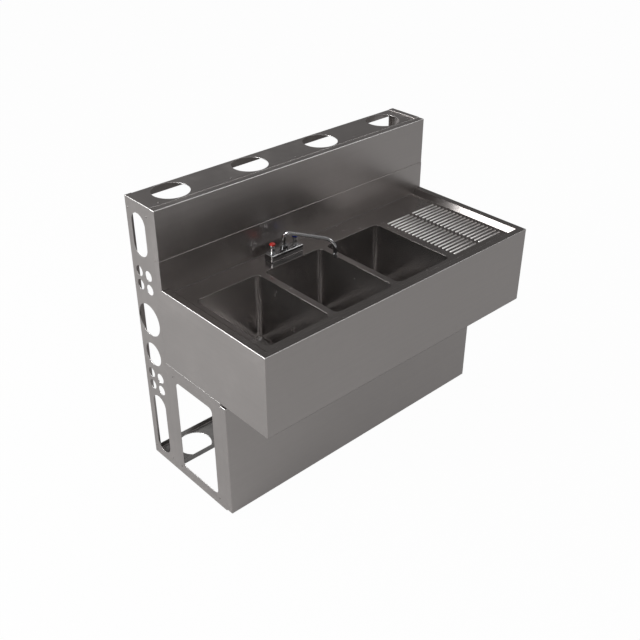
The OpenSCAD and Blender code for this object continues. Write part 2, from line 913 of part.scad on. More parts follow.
module drain_bodies() {
    neck_r = drain_neck / 2;
    seat_r = strainer_d / 2 + run_gap;
    lip_r = drain_flange / 2;
    color(brushed) drain_places() difference() {
        union() {
            cylinder(r1 = lip_r, r2 = lip_r - drain_flange_h, h = drain_flange_h, $fn = 64);
            translate([0, 0, -drain_neck_l]) cylinder(r = neck_r, h = drain_neck_l);
        }
        translate([0, 0, -strainer_depth]) cylinder(r = seat_r, h = strainer_depth + drain_flange_h + over);
        difference() {
            translate([0, 0, -drain_neck_l - over]) cylinder(r = drain_bore_r, h = drain_neck_l + over);
            translate([-drain_bore_r, -strainer_bar / 2, -strainer_depth - strainer_bar_h]) {
                cube([2 * drain_bore_r, strainer_bar, strainer_bar_h]);
            }
        }
        translate([0, 0, -strainer_depth - strainer_bar_h - over]) {
            cylinder(r = strainer_screw_r + screw_fit, h = strainer_bar_h + 2 * over);
        }
    }
}

module drain_gaskets() {
    z = -bowl_sheet - drain_gasket_h;
    color(rubber_black) drain_places() ring(z, drain_gasket_h, drain_gasket_r, drain_neck / 2 + run_gap);
}

module drain_locknuts() {
    top = -bowl_sheet - drain_gasket_h;
    color(chrome) drain_places() hex_nut(top - locknut_h, locknut_h, locknut_r, drain_neck / 2 + run_gap);
}

module drain_coupling_nuts() {
    color(chrome) drain_places() difference() {
        translate([0, 0, coupling_low]) cylinder(r = coupling_r, h = coupling_h, $fn = 8);
        translate([0, 0, -drain_neck_l - collar_h]) cylinder(r = drain_neck / 2 + run_gap, h = coupling_h);
        translate([0, 0, coupling_low - over]) cylinder(r = tail_od / 2 + run_gap, h = coupling_h);
    }
}

module drain_tailpieces() {
    color(chrome) drain_places() difference() {
        union() {
            ring(-drain_neck_l - collar_h - tail_l, tail_l + collar_h, tail_od / 2, tail_od / 2 - tail_wall);
            ring(-drain_neck_l - collar_h, collar_h, drain_neck / 2, tail_od / 2 - tail_wall);
        }
        relief(coupling_low, tail_od / 2);
    }
}

module strainer_plates() {
    color(chrome) drain_places() translate([0, 0, -strainer_depth]) difference() {
        cylinder(r = strainer_d / 2, h = strainer_h);
        translate([0, 0, -over]) {
            cylinder(r = strainer_screw_r + screw_fit, h = strainer_h + 2 * over);
            for (k = [0, 1], a = [0 : strainer_ring_counts[k] - 1]) {
                rotate([0, 0, a * 360 / strainer_ring_counts[k]]) {
                    translate([strainer_ring_shares[k] * strainer_d / 2, 0, 0]) {
                        cylinder(r = strainer_hole / 2, h = strainer_h + 2 * over, $fn = 16);
                    }
                }
            }
        }
    }
}

module strainer_screws() {
    color(chrome) drain_places() translate([0, 0, -strainer_depth + strainer_h]) {
        cylinder(r = strainer_head_r, h = strainer_head_h);
        translate([0, 0, -strainer_screw_l]) cylinder(r = strainer_screw_r, h = strainer_screw_l);
    }
}

// Faucet body

// The faucet's centre, at the level of the floor
module faucet_place() {
    in_frame() translate([faucet_x, faucet_y, 0]) children();
}

// The axis of the hot valve at -1 and of the cold valve at 1
module valve_place(hand) {
    faucet_place() translate([hand * valve_pitch / 2, 0, 0]) children();
}

// The two valve axes
module valve_axes() {
    for (hand = [-1, 1]) translate([hand * valve_pitch / 2, 0, 0]) children();
}

// Block with the outline of the faucet body
module faucet_block(z, h, inset) {
    w = faucet_w - 2 * inset;
    d = faucet_d - 2 * inset;
    translate([-w / 2, -d / 2, z]) linear_extrude(height = h) round_rect(w, d, faucet_r);
}

module faucet_body() {
    color(chrome) faucet_place() difference() {
        union() {
            faucet_block(body_z, faucet_h, 0);
            translate([0, 0, body_top_z]) cylinder(r = boss_r, h = boss_h);
        }
        valve_axes() {
            translate([0, 0, pocket_z]) cylinder(r = pocket_r, h = faucet_h);
            translate([0, 0, body_z - over]) cylinder(r = shank_od / 2 + run_gap, h = shank_seat + over);
            translate([0, 0, body_z]) cylinder(r = shank_port_r, h = faucet_h);
        }
        translate([0, 0, boss_top_z - sleeve_l - seat_gap]) {
            cylinder(r = sleeve_r + run_gap, h = sleeve_l + boss_h);
        }
        translate([0, 0, pocket_z + waterway_r]) cylinder(r = waterway_r, h = faucet_h);
        translate([-valve_pitch / 2, 0, pocket_z + waterway_r]) {
            rotate([0, 90, 0]) cylinder(r = waterway_r, h = valve_pitch);
        }
    }
}

module faucet_gasket() {
    color(rubber_black) faucet_place() difference() {
        faucet_block(deck_z, gasket_h, gasket_inset);
        valve_axes() translate([0, 0, deck_z - over]) {
            cylinder(r = shank_od / 2 + seat_gap, h = gasket_h + 2 * over);
        }
    }
}

module supply_shanks() {
    r = shank_od / 2;
    h = shank_l + gasket_h + shank_seat;
    color(chrome) faucet_place() valve_axes() difference() {
        ring(deck_z - shank_l, h, r, r - shank_wall);
        relief(shank_nut_z, r);
    }
}

module shank_washers() {
    z = deck_z - sheet - shank_washer_h;
    color(chrome) faucet_place() valve_axes() ring(z, shank_washer_h, shank_washer_r, shank_od / 2 + seat_gap);
}

module shank_nuts() {
    r = shank_od / 2 + run_gap;
    color(chrome) faucet_place() valve_axes() hex_nut(shank_nut_z, shank_nut_h, shank_nut_r, r);
}

// Valves and handles

module bonnet() {
    waist_r = bonnet_neck_r + bonnet_waist_share * (bonnet_r - bonnet_neck_r);
    color(chrome) rotate_extrude() difference() {
        union() {
            translate([0, body_top_z - bonnet_plug_l]) square([pocket_r - run_gap, bonnet_plug_l]);
            translate([0, body_top_z]) polygon([
                [0, 0], [bonnet_r, 0], [bonnet_r, bonnet_lip_h],
                [waist_r, bonnet_flare_shares[0] * bonnet_h],
                [bonnet_neck_r, bonnet_flare_shares[1] * bonnet_h],
                [bonnet_neck_r, bonnet_h], [0, bonnet_h]
            ]);
        }
        translate([-over, body_z]) square([stem_od / 2 + run_gap + over, 2 * faucet_h]);
    }
}

module bonnet_hot() valve_place(-1) bonnet();

module bonnet_cold() valve_place(1) bonnet();

module stem() {
    z = pocket_z + turn_gap;
    color(chrome) difference() {
        union() {
            translate([0, 0, z]) cylinder(r = disc_r, h = disc_h);
            translate([0, 0, z]) cylinder(r = stem_od / 2, h = stem_top_z - z);
        }
        translate([0, 0, stem_top_z - knob_screw_l]) {
            cylinder(r = knob_screw_r + screw_fit, h = knob_screw_l + over);
        }
    }
}

module stem_hot() valve_place(-1) stem();

module stem_cold() valve_place(1) stem();

module handle() {
    r = handle_od / 2;
    web_z = stem_top_z + run_gap;
    color(chrome) difference() {
        rotate_extrude() polygon([
            [0, handle_z], [r * handle_waist_share, handle_z], [r, handle_top_z - handle_band_share * handle_h],
            [r, handle_top_z], [0, handle_top_z]
        ]);
        translate([0, 0, handle_z - over]) cylinder(r = stem_od / 2 + run_gap, h = web_z - handle_z + over);
        translate([0, 0, web_z]) cylinder(r = knob_screw_r + screw_fit, h = handle_h);
        translate([0, 0, web_z + handle_web]) cylinder(r = cup_r, h = handle_h);
        for (a = [0 : groove_count - 1]) rotate([0, 0, a * 360 / groove_count]) {
            translate([r + groove_r / 2, 0, handle_z - over]) {
                cylinder(r = groove_r, h = groove_share * handle_h + over);
            }
        }
    }
}

module handle_hot() valve_place(-1) handle();

module handle_cold() valve_place(1) handle();

module handle_screw() {
    z = stem_top_z + run_gap + handle_web;
    l = handle_web + knob_screw_l - over;
    color(chrome) translate([0, 0, z]) {
        cylinder(r = knob_head_r, h = knob_head_h);
        translate([0, 0, -l]) cylinder(r = knob_screw_r, h = l);
    }
}

module handle_screw_hot() valve_place(-1) handle_screw();

module handle_screw_cold() valve_place(1) handle_screw();

// Coloured cap with a domed top and a peg that plugs into the handle
module cap() {
    r = cap_od / 2;
    crown = cap_h * cap_crown_share;
    dome_r = (r * r + crown * crown) / (2 * crown);
    translate([0, 0, handle_top_z]) rotate_extrude() {
        translate([0, -cap_peg_h]) square([cup_r - run_gap, cap_peg_h + crown]);
        square([r, cap_h - crown]);
        intersection() {
            translate([0, cap_h - dome_r]) circle(dome_r, $fn = 96);
            square([r, cap_h]);
        }
    }
}

module cap_hot() color(hot_red) valve_place(-1) cap();

module cap_cold() color(cold_blue) valve_place(1) cap();

// Spout

// The spout's axis, turned to the spout's angle at rest, with the arm along +X
module spout_place() {
    faucet_place() rotate([0, 0, spout_turn - 90]) children();
}

// Quarter of a torus that turns from level to upright in the XZ plane
module elbow(bend, r) {
    rotate([90, 0, 0]) rotate_extrude(angle = 90) translate([bend, 0]) circle(r);
}

// Solid rod along the spout's centre line
module spout_line(r, low, end) {
    translate([0, 0, low]) cylinder(r = r, h = arm_z - post_bend - low);
    translate([post_bend, 0, arm_z - post_bend]) mirror([1, 0, 0]) elbow(post_bend, r);
    translate([post_bend, 0, arm_z]) rotate([0, 90, 0]) cylinder(r = r, h = spout_reach - post_bend - end_bend);
    translate([spout_reach - end_bend, 0, arm_z - end_bend]) elbow(end_bend, r);
    translate([spout_reach, 0, end]) cylinder(r = r, h = arm_z - end_bend - end);
}

module spout_tube() {
    low = boss_top_z - sleeve_l;
    end = outlet_z + aerator_h - aerator_cover;
    color(chrome) spout_place() difference() {
        union() {
            spout_line(tube_r, low, end);
            translate([0, 0, low]) cylinder(r = sleeve_r, h = sleeve_l + run_gap);
            translate([0, 0, boss_top_z + run_gap]) cylinder(r = collar_r, h = spout_collar_h);
        }
        spout_line(bore_r, low - over, end - over);
        translate([0, 0, low + seal_up]) rotate_extrude() {
            translate([sleeve_r - 2 * seal_r, -seal_r]) square([2 * seal_r + over, 2 * seal_r]);
        }
    }
}

module spout_seal() {
    z = boss_top_z - sleeve_l + seal_up;
    color(rubber_black) spout_place() translate([0, 0, z]) rotate_extrude() {
        translate([sleeve_r - seal_r, 0]) circle(seal_r);
    }
}

module spout_washer() {
    color(nylon_white) spout_place() ring(collar_top_z + run_gap, washer_h, collar_r, tube_r + run_gap);
}

module spout_nut() {
    low = body_top_z + nut_start;
    shoulder = washer_top_z + turn_gap;
    h = shoulder + nut_top_h - low;
    color(chrome) faucet_place() difference() {
        translate([0, 0, low]) cylinder(r = boss_r + nut_wall, h = h);
        translate([0, 0, low - over]) cylinder(r = boss_r + run_gap, h = shoulder - low + over);
        translate([0, 0, low]) cylinder(r = tube_r + run_gap, h = h + over);
        for (a = [0 : 60 : 300]) rotate([0, 0, a]) {
            translate([boss_r + nut_flat_share * nut_wall, -boss_r, low - over]) {
                cube([boss_r, 2 * boss_r, h + 2 * over]);
            }
        }
    }
}

module aerator_shell() {
    color(chrome) spout_place() translate([spout_reach, 0, outlet_z]) difference() {
        cylinder(r = aerator_r, h = aerator_h);
        translate([0, 0, aerator_lip]) cylinder(r = tube_r + run_gap, h = aerator_h);
        translate([0, 0, -over]) cylinder(r = bore_r, h = aerator_h);
    }
}

module aerator_insert() {
    color(nylon_white) spout_place() translate([spout_reach, 0, outlet_z + aerator_lip]) difference() {
        cylinder(r = tube_r - run_gap, h = insert_h);
        for (a = [0 : insert_ring_count - 1]) rotate([0, 0, a * 360 / insert_ring_count]) {
            translate([insert_ring_share * bore_r, 0, -over]) {
                cylinder(r = insert_hole_r, h = insert_h + 2 * over, $fn = 16);
            }
        }
    }
}

chase_side_left();
chase_side_right();
chase_top_plate();
chase_floor_plate();
chase_front_panel();
riser_panel();
sink_deck();
apron_front();
apron_left();
apron_right();
bowl_left();
bowl_middle();
bowl_right();
deck_channels();
base_side_left();
base_side_right();
base_front_panel();
floor_brackets();
chase_screws();
top_screws();
base_screws();
splash_screws();
panel_screws();
drain_bodies();
drain_gaskets();
drain_locknuts();
drain_coupling_nuts();
drain_tailpieces();
strainer_plates();
strainer_screws();
faucet_body();
faucet_gasket();
supply_shanks();
shank_washers();
shank_nuts();
bonnet_hot();
bonnet_cold();
stem_hot();
stem_cold();
handle_hot();
handle_cold();
handle_screw_hot();
handle_screw_cold();
cap_hot();
cap_cold();
spout_tube();
spout_seal();
spout_washer();
spout_nut();
aerator_shell();
aerator_insert();
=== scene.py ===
"""Looks of the underbar sink: brushed sheet, satin bowls, pressed drainboard, chrome faucet and its studio."""

import logging
import math
from contextlib import contextmanager
from dataclasses import dataclass
from enum import Enum
from typing import ClassVar, Iterator, NamedTuple, Optional, Sequence

import bmesh
import bpy
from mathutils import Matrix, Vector


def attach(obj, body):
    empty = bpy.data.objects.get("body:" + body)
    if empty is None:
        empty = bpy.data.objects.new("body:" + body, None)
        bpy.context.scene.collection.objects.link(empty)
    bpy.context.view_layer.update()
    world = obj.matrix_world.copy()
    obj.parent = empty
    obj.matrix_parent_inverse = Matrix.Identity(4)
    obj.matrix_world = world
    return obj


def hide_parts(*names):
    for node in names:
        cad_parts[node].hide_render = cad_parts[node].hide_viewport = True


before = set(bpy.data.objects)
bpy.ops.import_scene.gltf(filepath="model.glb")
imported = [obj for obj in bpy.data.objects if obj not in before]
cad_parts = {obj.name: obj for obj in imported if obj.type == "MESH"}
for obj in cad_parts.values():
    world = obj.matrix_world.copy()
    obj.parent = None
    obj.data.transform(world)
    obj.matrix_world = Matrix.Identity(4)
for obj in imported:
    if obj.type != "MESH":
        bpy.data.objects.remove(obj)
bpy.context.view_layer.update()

LOG = logging.getLogger("underbar_sink")
MM = 0.001
Pair = tuple[float, float]
Triple = tuple[float, float, float]
Piece = bpy.types.Object
Mesh = bpy.types.Mesh
Socket = bpy.types.NodeSocket
Shape = tuple[list[Vector], list[tuple[int, ...]]]


class Body(Enum):
    """Bodies of the frame that pieces ride on."""

    UNIT = "unit"
    SPOUT = "spout"
    HOT = "hot_valve"
    COLD = "cold_valve"


class Slot(Enum):
    """Material slots of the record."""

    SHEET = "sheet_brushed"
    DECK = "deck_satin"
    BOWL = "bowl_satin"
    HIDDEN = "sheet_hidden"
    SCREW = "screw_steel"
    DRAIN = "drain_steel"
    PLATED = "plated_brass"
    CHROME = "faucet_chrome"
    RED = "cap_red"
    BLUE = "cap_blue"


class Grain(Enum):
    """Direction of the brush marks, as the stretch of their pattern along X, Y and Z."""

    ALONG = (5.0, 900.0, 900.0)
    ACROSS = (900.0, 5.0, 900.0)
    UPRIGHT = (900.0, 900.0, 5.0)
    NONE = (90.0, 90.0, 90.0)
    FINE = (1400.0, 1400.0, 1400.0)


@dataclass(frozen=True)
class Plan:
    """Sizes of the unit in millimetres, from its left end, its rear plane and the floor."""

    width: float = 1219.0
    depth: float = 677.0
    sheet: float = 1.5
    rim: float = 758.0
    deck: float = 739.0
    seam: float = 861.0
    chase: float = 137.0
    splash: float = 162.4
    rim_width: float = 25.4
    slope: float = 18.0

    def at(self, x: float, d: float, z: float) -> Vector:
        """Point in the frame, in metres, from its distance from the left end, from the rear and its height."""
        return Vector(((x - self.width / 2) * MM, (self.depth / 2 - d) * MM, z * MM))


PLAN = Plan()


@dataclass(frozen=True)
class BowlPlan:
    """Places and sizes of the three bowls, in millimetres."""

    first: float = 62.5
    rear: float = 257.0
    width: float = 254.0
    length: float = 355.6
    depth: float = 254.0
    pitch: float = 279.4
    corner: float = 19.0
    drain_back: float = 127.0

    def on_middle(self, index: int, back: float, z: float) -> Vector:
        """Point on the middle of a bowl's width, at a distance from its rear wall and a height."""
        return PLAN.at(self.first + index * self.pitch + self.width / 2, self.rear + back, z)

    def ring(self, index: int, out: float, z: float) -> list[Vector]:
        """Ring round one bowl.

        Args:
            index: Number of the bowl from the left.
            out: Distance outside the wall.
            z: Height.

        Returns:
            The ring's points.
        """
        left = self.first + index * self.pitch
        across = (left - out, left + self.width + out)
        return round_ring(across, (self.rear - out, self.rear + self.length + out), self.corner + out, z)


BOWLS = BowlPlan()


# Node trees


class NodeKit:
    """Adds nodes to a tree and joins them."""

    def __init__(self, tree: bpy.types.NodeTree) -> None:
        """Takes the tree that it fills."""
        self.tree = tree

    def feed(self, node: bpy.types.Node, links: dict) -> None:
        """Joins or sets a node's inputs.

        Args:
            node: The node.
            links: Sockets or plain values, by name or number of the input.
        """
        for key, value in links.items():
            if isinstance(value, Socket):
                self.tree.links.new(value, node.inputs[key])
            else:
                node.inputs[key].default_value = value

    def node(self, kind: str, links: Optional[dict] = None, **settings: object) -> bpy.types.Node:
        """Adds a node.

        Args:
            kind: Type of the node.
            links: Sockets or plain values, by name or number of the input.
            **settings: Properties of the node.

        Returns:
            The node.
        """
        made = self.tree.nodes.new(kind)
        for key, value in settings.items():
            setattr(made, key, value)
        self.feed(made, links or {})
        return made

    def math(self, operation: str, *values: object) -> Socket:
        """Adds a math node on sockets or plain values and gives its result."""
        return self.node("ShaderNodeMath", dict(enumerate(values)), operation=operation).outputs[0]

    def blend(self, share: Socket, low: Socket, high: Socket) -> Socket:
        """Mixes two shaders."""
        return self.node("ShaderNodeMixShader", {0: share, 1: low, 2: high}).outputs[0]


class NodeGroup(NodeKit):
    """A node group with named inputs and outputs."""

    def __init__(self, name: str, kind: str, inputs: Sequence[tuple], outputs: Sequence[tuple]) -> None:
        """Opens an empty group.

        Args:
            name: Name of the group.
            kind: Type of its tree.
            inputs: Name, socket type and, where it has one, default of each input.
            outputs: Name and socket type of each output.
        """
        super().__init__(bpy.data.node_groups.new(name, kind))
        for side, rows in (("INPUT", inputs), ("OUTPUT", outputs)):
            for label, socket, *value in rows:
                made = self.tree.interface.new_socket(name=label, in_out=side, socket_type=f"NodeSocket{socket}")
                if value:
                    made.default_value = value[0]
        self.inputs = self.tree.nodes.new("NodeGroupInput").outputs
        self.target = self.tree.nodes.new("NodeGroupOutput")


class MarkGroup(NodeGroup):
    """A shader group that turns a place into the masks of one kind of mark."""

    def __init__(self, name: str, setting: tuple, *masks: str) -> None:
        """Opens the group.

        Args:
            name: Name of the group.
            setting: Name, socket type and default of its one setting.
            *masks: Names of the values that it puts out.
        """
        place = ("Vector", "Vector", (0, 0, 0))
        super().__init__(name, "ShaderNodeTree", [place, setting], [(mask, "Float") for mask in masks])

    def noise(self, place: Socket, **values: object) -> Socket:
        """Adds a noise whose inputs are given by name, and gives its value."""
        return self.node("ShaderNodeTexNoise", {"Vector": place, **values}).outputs["Fac"]

    def spread(self, value: Socket, low: float, high: float) -> Socket:
        """Stretches a value so that the low level becomes zero and the high one becomes one."""
        stretch = {"Value": value, "From Min": low, "From Max": high}
        return self.node("ShaderNodeMapRange", stretch).outputs["Result"]


def brush_group() -> bpy.types.NodeTree:
    """Builds the group of fine brush marks stretched along one direction.

    Returns:
        The group's tree, which puts out Streak and Height.
    """
    group = MarkGroup("brush_marks", ("Stretch", "Vector", Grain.ALONG.value), "Streak", "Height")
    scaled = {0: group.inputs["Vector"], 1: group.inputs["Stretch"]}
    place = group.node("ShaderNodeVectorMath", scaled, operation="MULTIPLY").outputs[0]
    fine = group.noise(place, Scale=1.0, Detail=3.0)
    coarse = group.noise(place, Scale=0.11, Detail=2.0)
    streak = group.math("MULTIPLY", group.spread(fine, 0.2, 0.8), group.spread(coarse, 0.1, 0.75))
    group.feed(group.target, {"Streak": streak, "Height": fine})
    return group.tree


def smudge_group() -> bpy.types.NodeTree:
    """Builds the group of soft wiped patches and handling marks.

    Returns:
        The group's tree, which puts out Mask.
    """
    group = MarkGroup("wiped_patches", ("Size", "Float", 5.0), "Mask")
    wide = group.noise(group.inputs["Vector"], Scale=group.inputs["Size"], Detail=2.0, Distortion=0.6)
    small = group.noise(group.inputs["Vector"], Scale=38.0, Detail=4.0)
    mask = group.math("MULTIPLY", group.spread(wide, 0.38, 0.66), group.spread(small, 0.25, 0.7))
    group.feed(group.target, {"Mask": mask})
    return group.tree


def spot_group() -> bpy.types.NodeTree:
    """Builds the group of small dried water spots.

    Returns:
        The group's tree, which puts out Mask.
    """
    group = MarkGroup("water_spots", ("Count", "Float", 60.0), "Mask")
    cells = {"Vector": group.inputs["Vector"], "Scale": group.inputs["Count"]}
    reach = group.node("ShaderNodeTexVoronoi", cells).outputs["Distance"]
    where = group.noise(group.inputs["Vector"], Scale=9.0)
    mask = group.math("MULTIPLY", group.spread(reach, 0.16, 0.06), group.spread(where, 0.52, 0.66))
    group.feed(group.target, {"Mask": mask})
    return group.tree


# Finishes


class Marks(NamedTuple):
    """A base value and the weights of the streaks, patches and spots on it."""

    base: float
    streak: float
    patch: float
    spot: float


@dataclass(frozen=True)
class Finish:
    """A procedural finish: its two colours and what its marks do to tone, roughness and relief."""

    name: str
    dark: Triple
    light: Triple
    tone: Marks
    rough: Marks
    grain: Grain
    relief: float
    relief_depth: float
    patch_size: float
    spot_count: float
    shift: Triple
    metal: float = 1.0
    coat: float = 0.0
    coat_rough: float = 0.03

    def build(self, trees: Sequence[bpy.types.NodeTree]) -> bpy.types.Material:
        """Makes the material.

        Args:
            trees: Shader groups of the brush marks, the patches and the spots.

        Returns:
            The finished material.
        """
        material = bpy.data.materials.new(self.name)
        material.use_nodes = True
        kit = NodeKit(material.node_tree)
        coordinates = kit.node("ShaderNodeTexCoord").outputs["Object"]
        moved = kit.node("ShaderNodeMapping", {"Vector": coordinates, "Location": self.shift}).outputs["Vector"]
        settings = (("Stretch", self.grain.value), ("Size", self.patch_size), ("Count", self.spot_count))
        marks = [
            kit.node("ShaderNodeGroup", {"Vector": moved, key: value}, node_tree=tree).outputs
            for tree, (key, value) in zip(trees, settings)
        ]
        values = []
        for base, *weights in (self.tone, self.rough):
            total: object = base
            for outputs, weight in zip(marks, weights):
                if weight:
                    total = kit.math("MULTIPLY_ADD", outputs[0], weight, total)
            values.append(total)
        colours = {0: values[0], 6: (*self.dark, 1.0), 7: (*self.light, 1.0)}
        bump = {"Strength": self.relief, "Distance": self.relief_depth, "Height": marks[0]["Height"]}
        surface = {
            "Base Color": kit.node("ShaderNodeMix", colours, data_type="RGBA").outputs[2],
            "Roughness": values[1],
            "Normal": kit.node("ShaderNodeBump", bump).outputs["Normal"],
            "Metallic": self.metal,
            "Coat Weight": self.coat,
            "Coat Roughness": self.coat_rough,
        }
        kit.feed(material.node_tree.nodes["Principled BSDF"], surface)
        return material


def steel(
    name: str,
    dark: Triple,
    light: Triple,
    roughness: float,
    grain: Grain,
    grain_rough: float = 0.10,
    relief: float = 0.10,
    patch_size: float = 5.0,
    patch_rough: float = 0.10,
    spots: float = 0.0,
) -> Finish:
    """Describes brushed or satin stainless steel.

    Args:
        name: Name of the material.
        dark: Its darker colour.
        light: Its lighter colour.
        roughness: Its roughness between the marks.
        grain: Direction of the brush marks.
        grain_rough: What a brush mark adds to the roughness.
        relief: Strength of the marks' relief.
        patch_size: Fineness of the wiped patches.
        patch_rough: What a patch adds to the roughness.
        spots: Weight of the water spots.

    Returns:
        The finish.
    """
    tone, rough = Marks(0.28, 0.5, 0.4, spots), Marks(roughness, grain_rough, patch_rough, spots)
    return Finish(name, dark, light, tone, rough, grain, relief, 0.0002, patch_size, 55.0, (0.0, 0.0, 0.0))


def chrome(name: str, dark: Triple, light: Triple, roughness: float) -> Finish:
    """Describes polished plating with faint handling marks and water spots."""
    tone, rough = Marks(0.75, 0.0, -0.5, -0.3), Marks(roughness, 0.0, 0.09, 0.12)
    return Finish(name, dark, light, tone, rough, Grain.NONE, 0.01, 0.0001, 26.0, 240.0, (0.31, 0.12, 0.07))


def plastic(name: str, dark: Triple, light: Triple, roughness: float, coat: float, relief: float) -> Finish:
    """Describes moulded plastic or rubber, glossy under a coat or matte.

    Args:
        name: Name of the material.
        dark: Its darker colour.
        light: Its lighter colour.
        roughness: Its roughness between the marks.
        coat: Weight of its clear coat.
        relief: Strength of the marks' relief.

    Returns:
        The finish.
    """
    tone, rough = Marks(0.35, 0.3, 0.5, 0.0), Marks(roughness, 0.05, 0.12, 0.0)
    return Finish(
        name, dark, light, tone, rough, Grain.FINE, relief, 0.0002, 60.0, 60.0, (0.2, 0.4, 0.1), 0.0, coat, 0.04
    )


class Palette(dict):
    """Every material of the unit, by name."""

    def __init__(self) -> None:
        """Builds the groups and the materials."""
        sheet = ((0.45, 0.424, 0.414), (0.53, 0.500, 0.489))
        # painted shade: the deck's colours are darker than the sheet colours of the same steel, for its up-facing
        # flat
        deck = ((0.33, 0.310, 0.300), (0.43, 0.404, 0.392))
        bowl = ((0.46, 0.443, 0.435), (0.51, 0.492, 0.484))
        groups = (brush_group(), smudge_group(), spot_group())
        finishes = (
            steel("steel_upright", *sheet, 0.30, Grain.UPRIGHT, 0.06, 0.03),
            steel("steel_along", *sheet, 0.29, Grain.ALONG, 0.06, 0.03),
            steel("steel_across", *sheet, 0.30, Grain.ACROSS, 0.06, 0.03),
            # painted highlight: a near-white steel for the rounded edges of folds, in place of the light they catch
            steel("steel_edge", (0.84, 0.82, 0.81), (0.96, 0.94, 0.93), 0.28, Grain.NONE, 0.06, 0.02),
            # painted shade: the deck, coloured darker than the upright sheets
            steel("steel_deck", *deck, 0.21, Grain.ALONG, 0.04, 0.01, 4.0, 0.06, 0.05),
            # painted shade: the bend between deck and backsplash, darker than the deck; its roughness is a dull
            # finish
            steel("steel_cove", (0.22, 0.207, 0.201), (0.29, 0.273, 0.265), 0.62, Grain.ALONG, 0.04, 0.01),
            steel("steel_bowl", *bowl, 0.24, Grain.UPRIGHT, 0.02, 0.0, 5.0, 0.03),
            # painted highlight: the pressed ribs of the deck sheet, coloured far lighter than the deck
            steel("steel_rib", (0.78, 0.76, 0.75), (0.88, 0.86, 0.85), 0.28, Grain.ALONG, 0.03, 0.0, 5.0, 0.03),
            steel("steel_mill", (0.30, 0.29, 0.285), (0.42, 0.41, 0.40), 0.42, Grain.ALONG, 0.14, 0.16),
            steel("steel_screw", (0.16, 0.155, 0.15), (0.30, 0.29, 0.28), 0.34, Grain.NONE),
            steel("steel_drain", (0.42, 0.41, 0.40), (0.60, 0.59, 0.58), 0.20, Grain.NONE, spots=0.2),
            chrome("chrome", (0.46, 0.46, 0.47), (0.60, 0.60, 0.61), 0.045),
            # painted highlight: a near-white chrome for the rounded edges of the faucet's block and spout nut
            chrome("chrome_edge", (0.86, 0.86, 0.87), (0.95, 0.95, 0.96), 0.16),
            chrome("plated", (0.50, 0.49, 0.46), (0.70, 0.69, 0.66), 0.16),
            chrome("brass", (0.42, 0.27, 0.10), (0.66, 0.46, 0.20), 0.24),
            plastic("rubber", (0.012, 0.012, 0.012), (0.035, 0.034, 0.033), 0.62, 0.0, 0.3),
            plastic("nylon", (0.62, 0.61, 0.57), (0.80, 0.79, 0.76), 0.42, 0.0, 0.1),
            plastic("red_cap", (0.42, 0.010, 0.008), (0.62, 0.028, 0.018), 0.16, 0.7, 0.05),
            plastic("blue_cap", (0.010, 0.020, 0.24), (0.022, 0.050, 0.42), 0.16, 0.7, 0.05),
        )
        super().__init__({finish.name: finish.build(groups) for finish in finishes})


# Mesh tools


def link_mesh(name: str, mesh: Mesh) -> Piece:
    """Puts a mesh in the scene as an object at the origin.

    Args:
        name: Name of the object.
        mesh: Its mesh.

    Returns:
        The object.
    """
    piece = bpy.data.objects.new(name, mesh)
    bpy.context.scene.collection.objects.link(piece)
    return piece


@contextmanager
def editing(mesh: Mesh, *sources: Mesh) -> Iterator[bmesh.types.BMesh]:
    """Opens a mesh for editing and writes it back at the end.

    Args:
        mesh: The mesh that is written.
        *sources: Meshes whose faces it starts from, if not its own.

    Yields:
        The faces to edit.
    """
    work = bmesh.new()
    for source in sources or (mesh,):
        work.from_mesh(source)
    yield work
    work.to_mesh(mesh)
    work.free()


def settle(piece: Piece) -> Piece:
    """Turns an object's modifiers into a plain mesh.

    Args:
        piece: The object with live modifiers.

    Returns:
        The same object, with its modifiers' result as its mesh.
    """
    bpy.context.view_layer.update()
    graph = bpy.context.evaluated_depsgraph_get()
    mesh = bpy.data.meshes.new_from_object(piece.evaluated_get(graph), depsgraph=graph)
    mesh.name = piece.name
    piece.modifiers.clear()
    piece.data = mesh
    return piece


def modify(piece: Piece, kind: str, **settings: object) -> Piece:
    """Runs one modifier on an object and keeps its result.

    Args:
        piece: The object.
        kind: Type of the modifier.
        **settings: Its properties.

    Returns:
        The same object.
    """
    modifier = piece.modifiers.new(kind.lower(), kind)
    for key, value in settings.items():
        setattr(modifier, key, value)
    return settle(piece)


def soften(piece: Piece, angle: float = 32.0) -> Piece:
    """Shades a piece smooth up to an angle, with its broad faces kept flat.

    Args:
        piece: The object.
        angle: Angle from which an edge stays sharp, in degrees.

    Returns:
        The same object.
    """
    piece.data.shade_smooth()
    piece.data.set_sharp_from_angle(angle=math.radians(angle))
    return modify(piece, "WEIGHTED_NORMAL", keep_sharp=True)


def thicken(piece: Piece, thickness: float) -> Piece:
    """Gives a sheet its thickness, in millimetres, behind its face."""
    return soften(modify(piece, "SOLIDIFY", thickness=thickness * MM, offset=-1.0))


def from_faces(
    name: str, points: Sequence[Vector], faces: Sequence[Sequence[int]], even: bool = False, up: bool = False
) -> Piece:
    """Makes an object from points and faces.

    Args:
        name: Name of the object.
        points: Its points, in metres.
        faces: Its faces, as indices of the points.
        even: Whether all faces have to show one side, outwards on a closed shell.
        up: Whether that side has to face up.

    Returns:
        The object.
    """
    mesh = bpy.data.meshes.new(name)
    mesh.from_pydata([tuple(p) for p in points], [], [list(f) for f in faces])
    with editing(mesh) as work:
        bmesh.ops.remove_doubles(work, verts=work.verts, dist=1e-6)
        bmesh.ops.dissolve_degenerate(work, dist=1e-7, edges=work.edges)
        if even:
            bmesh.ops.recalc_face_normals(work, faces=work.faces)
        if up and sum(f.normal.z * f.calc_area() for f in work.faces) < 0:
            bmesh.ops.reverse_faces(work, faces=work.faces)
    return link_mesh(name, mesh)


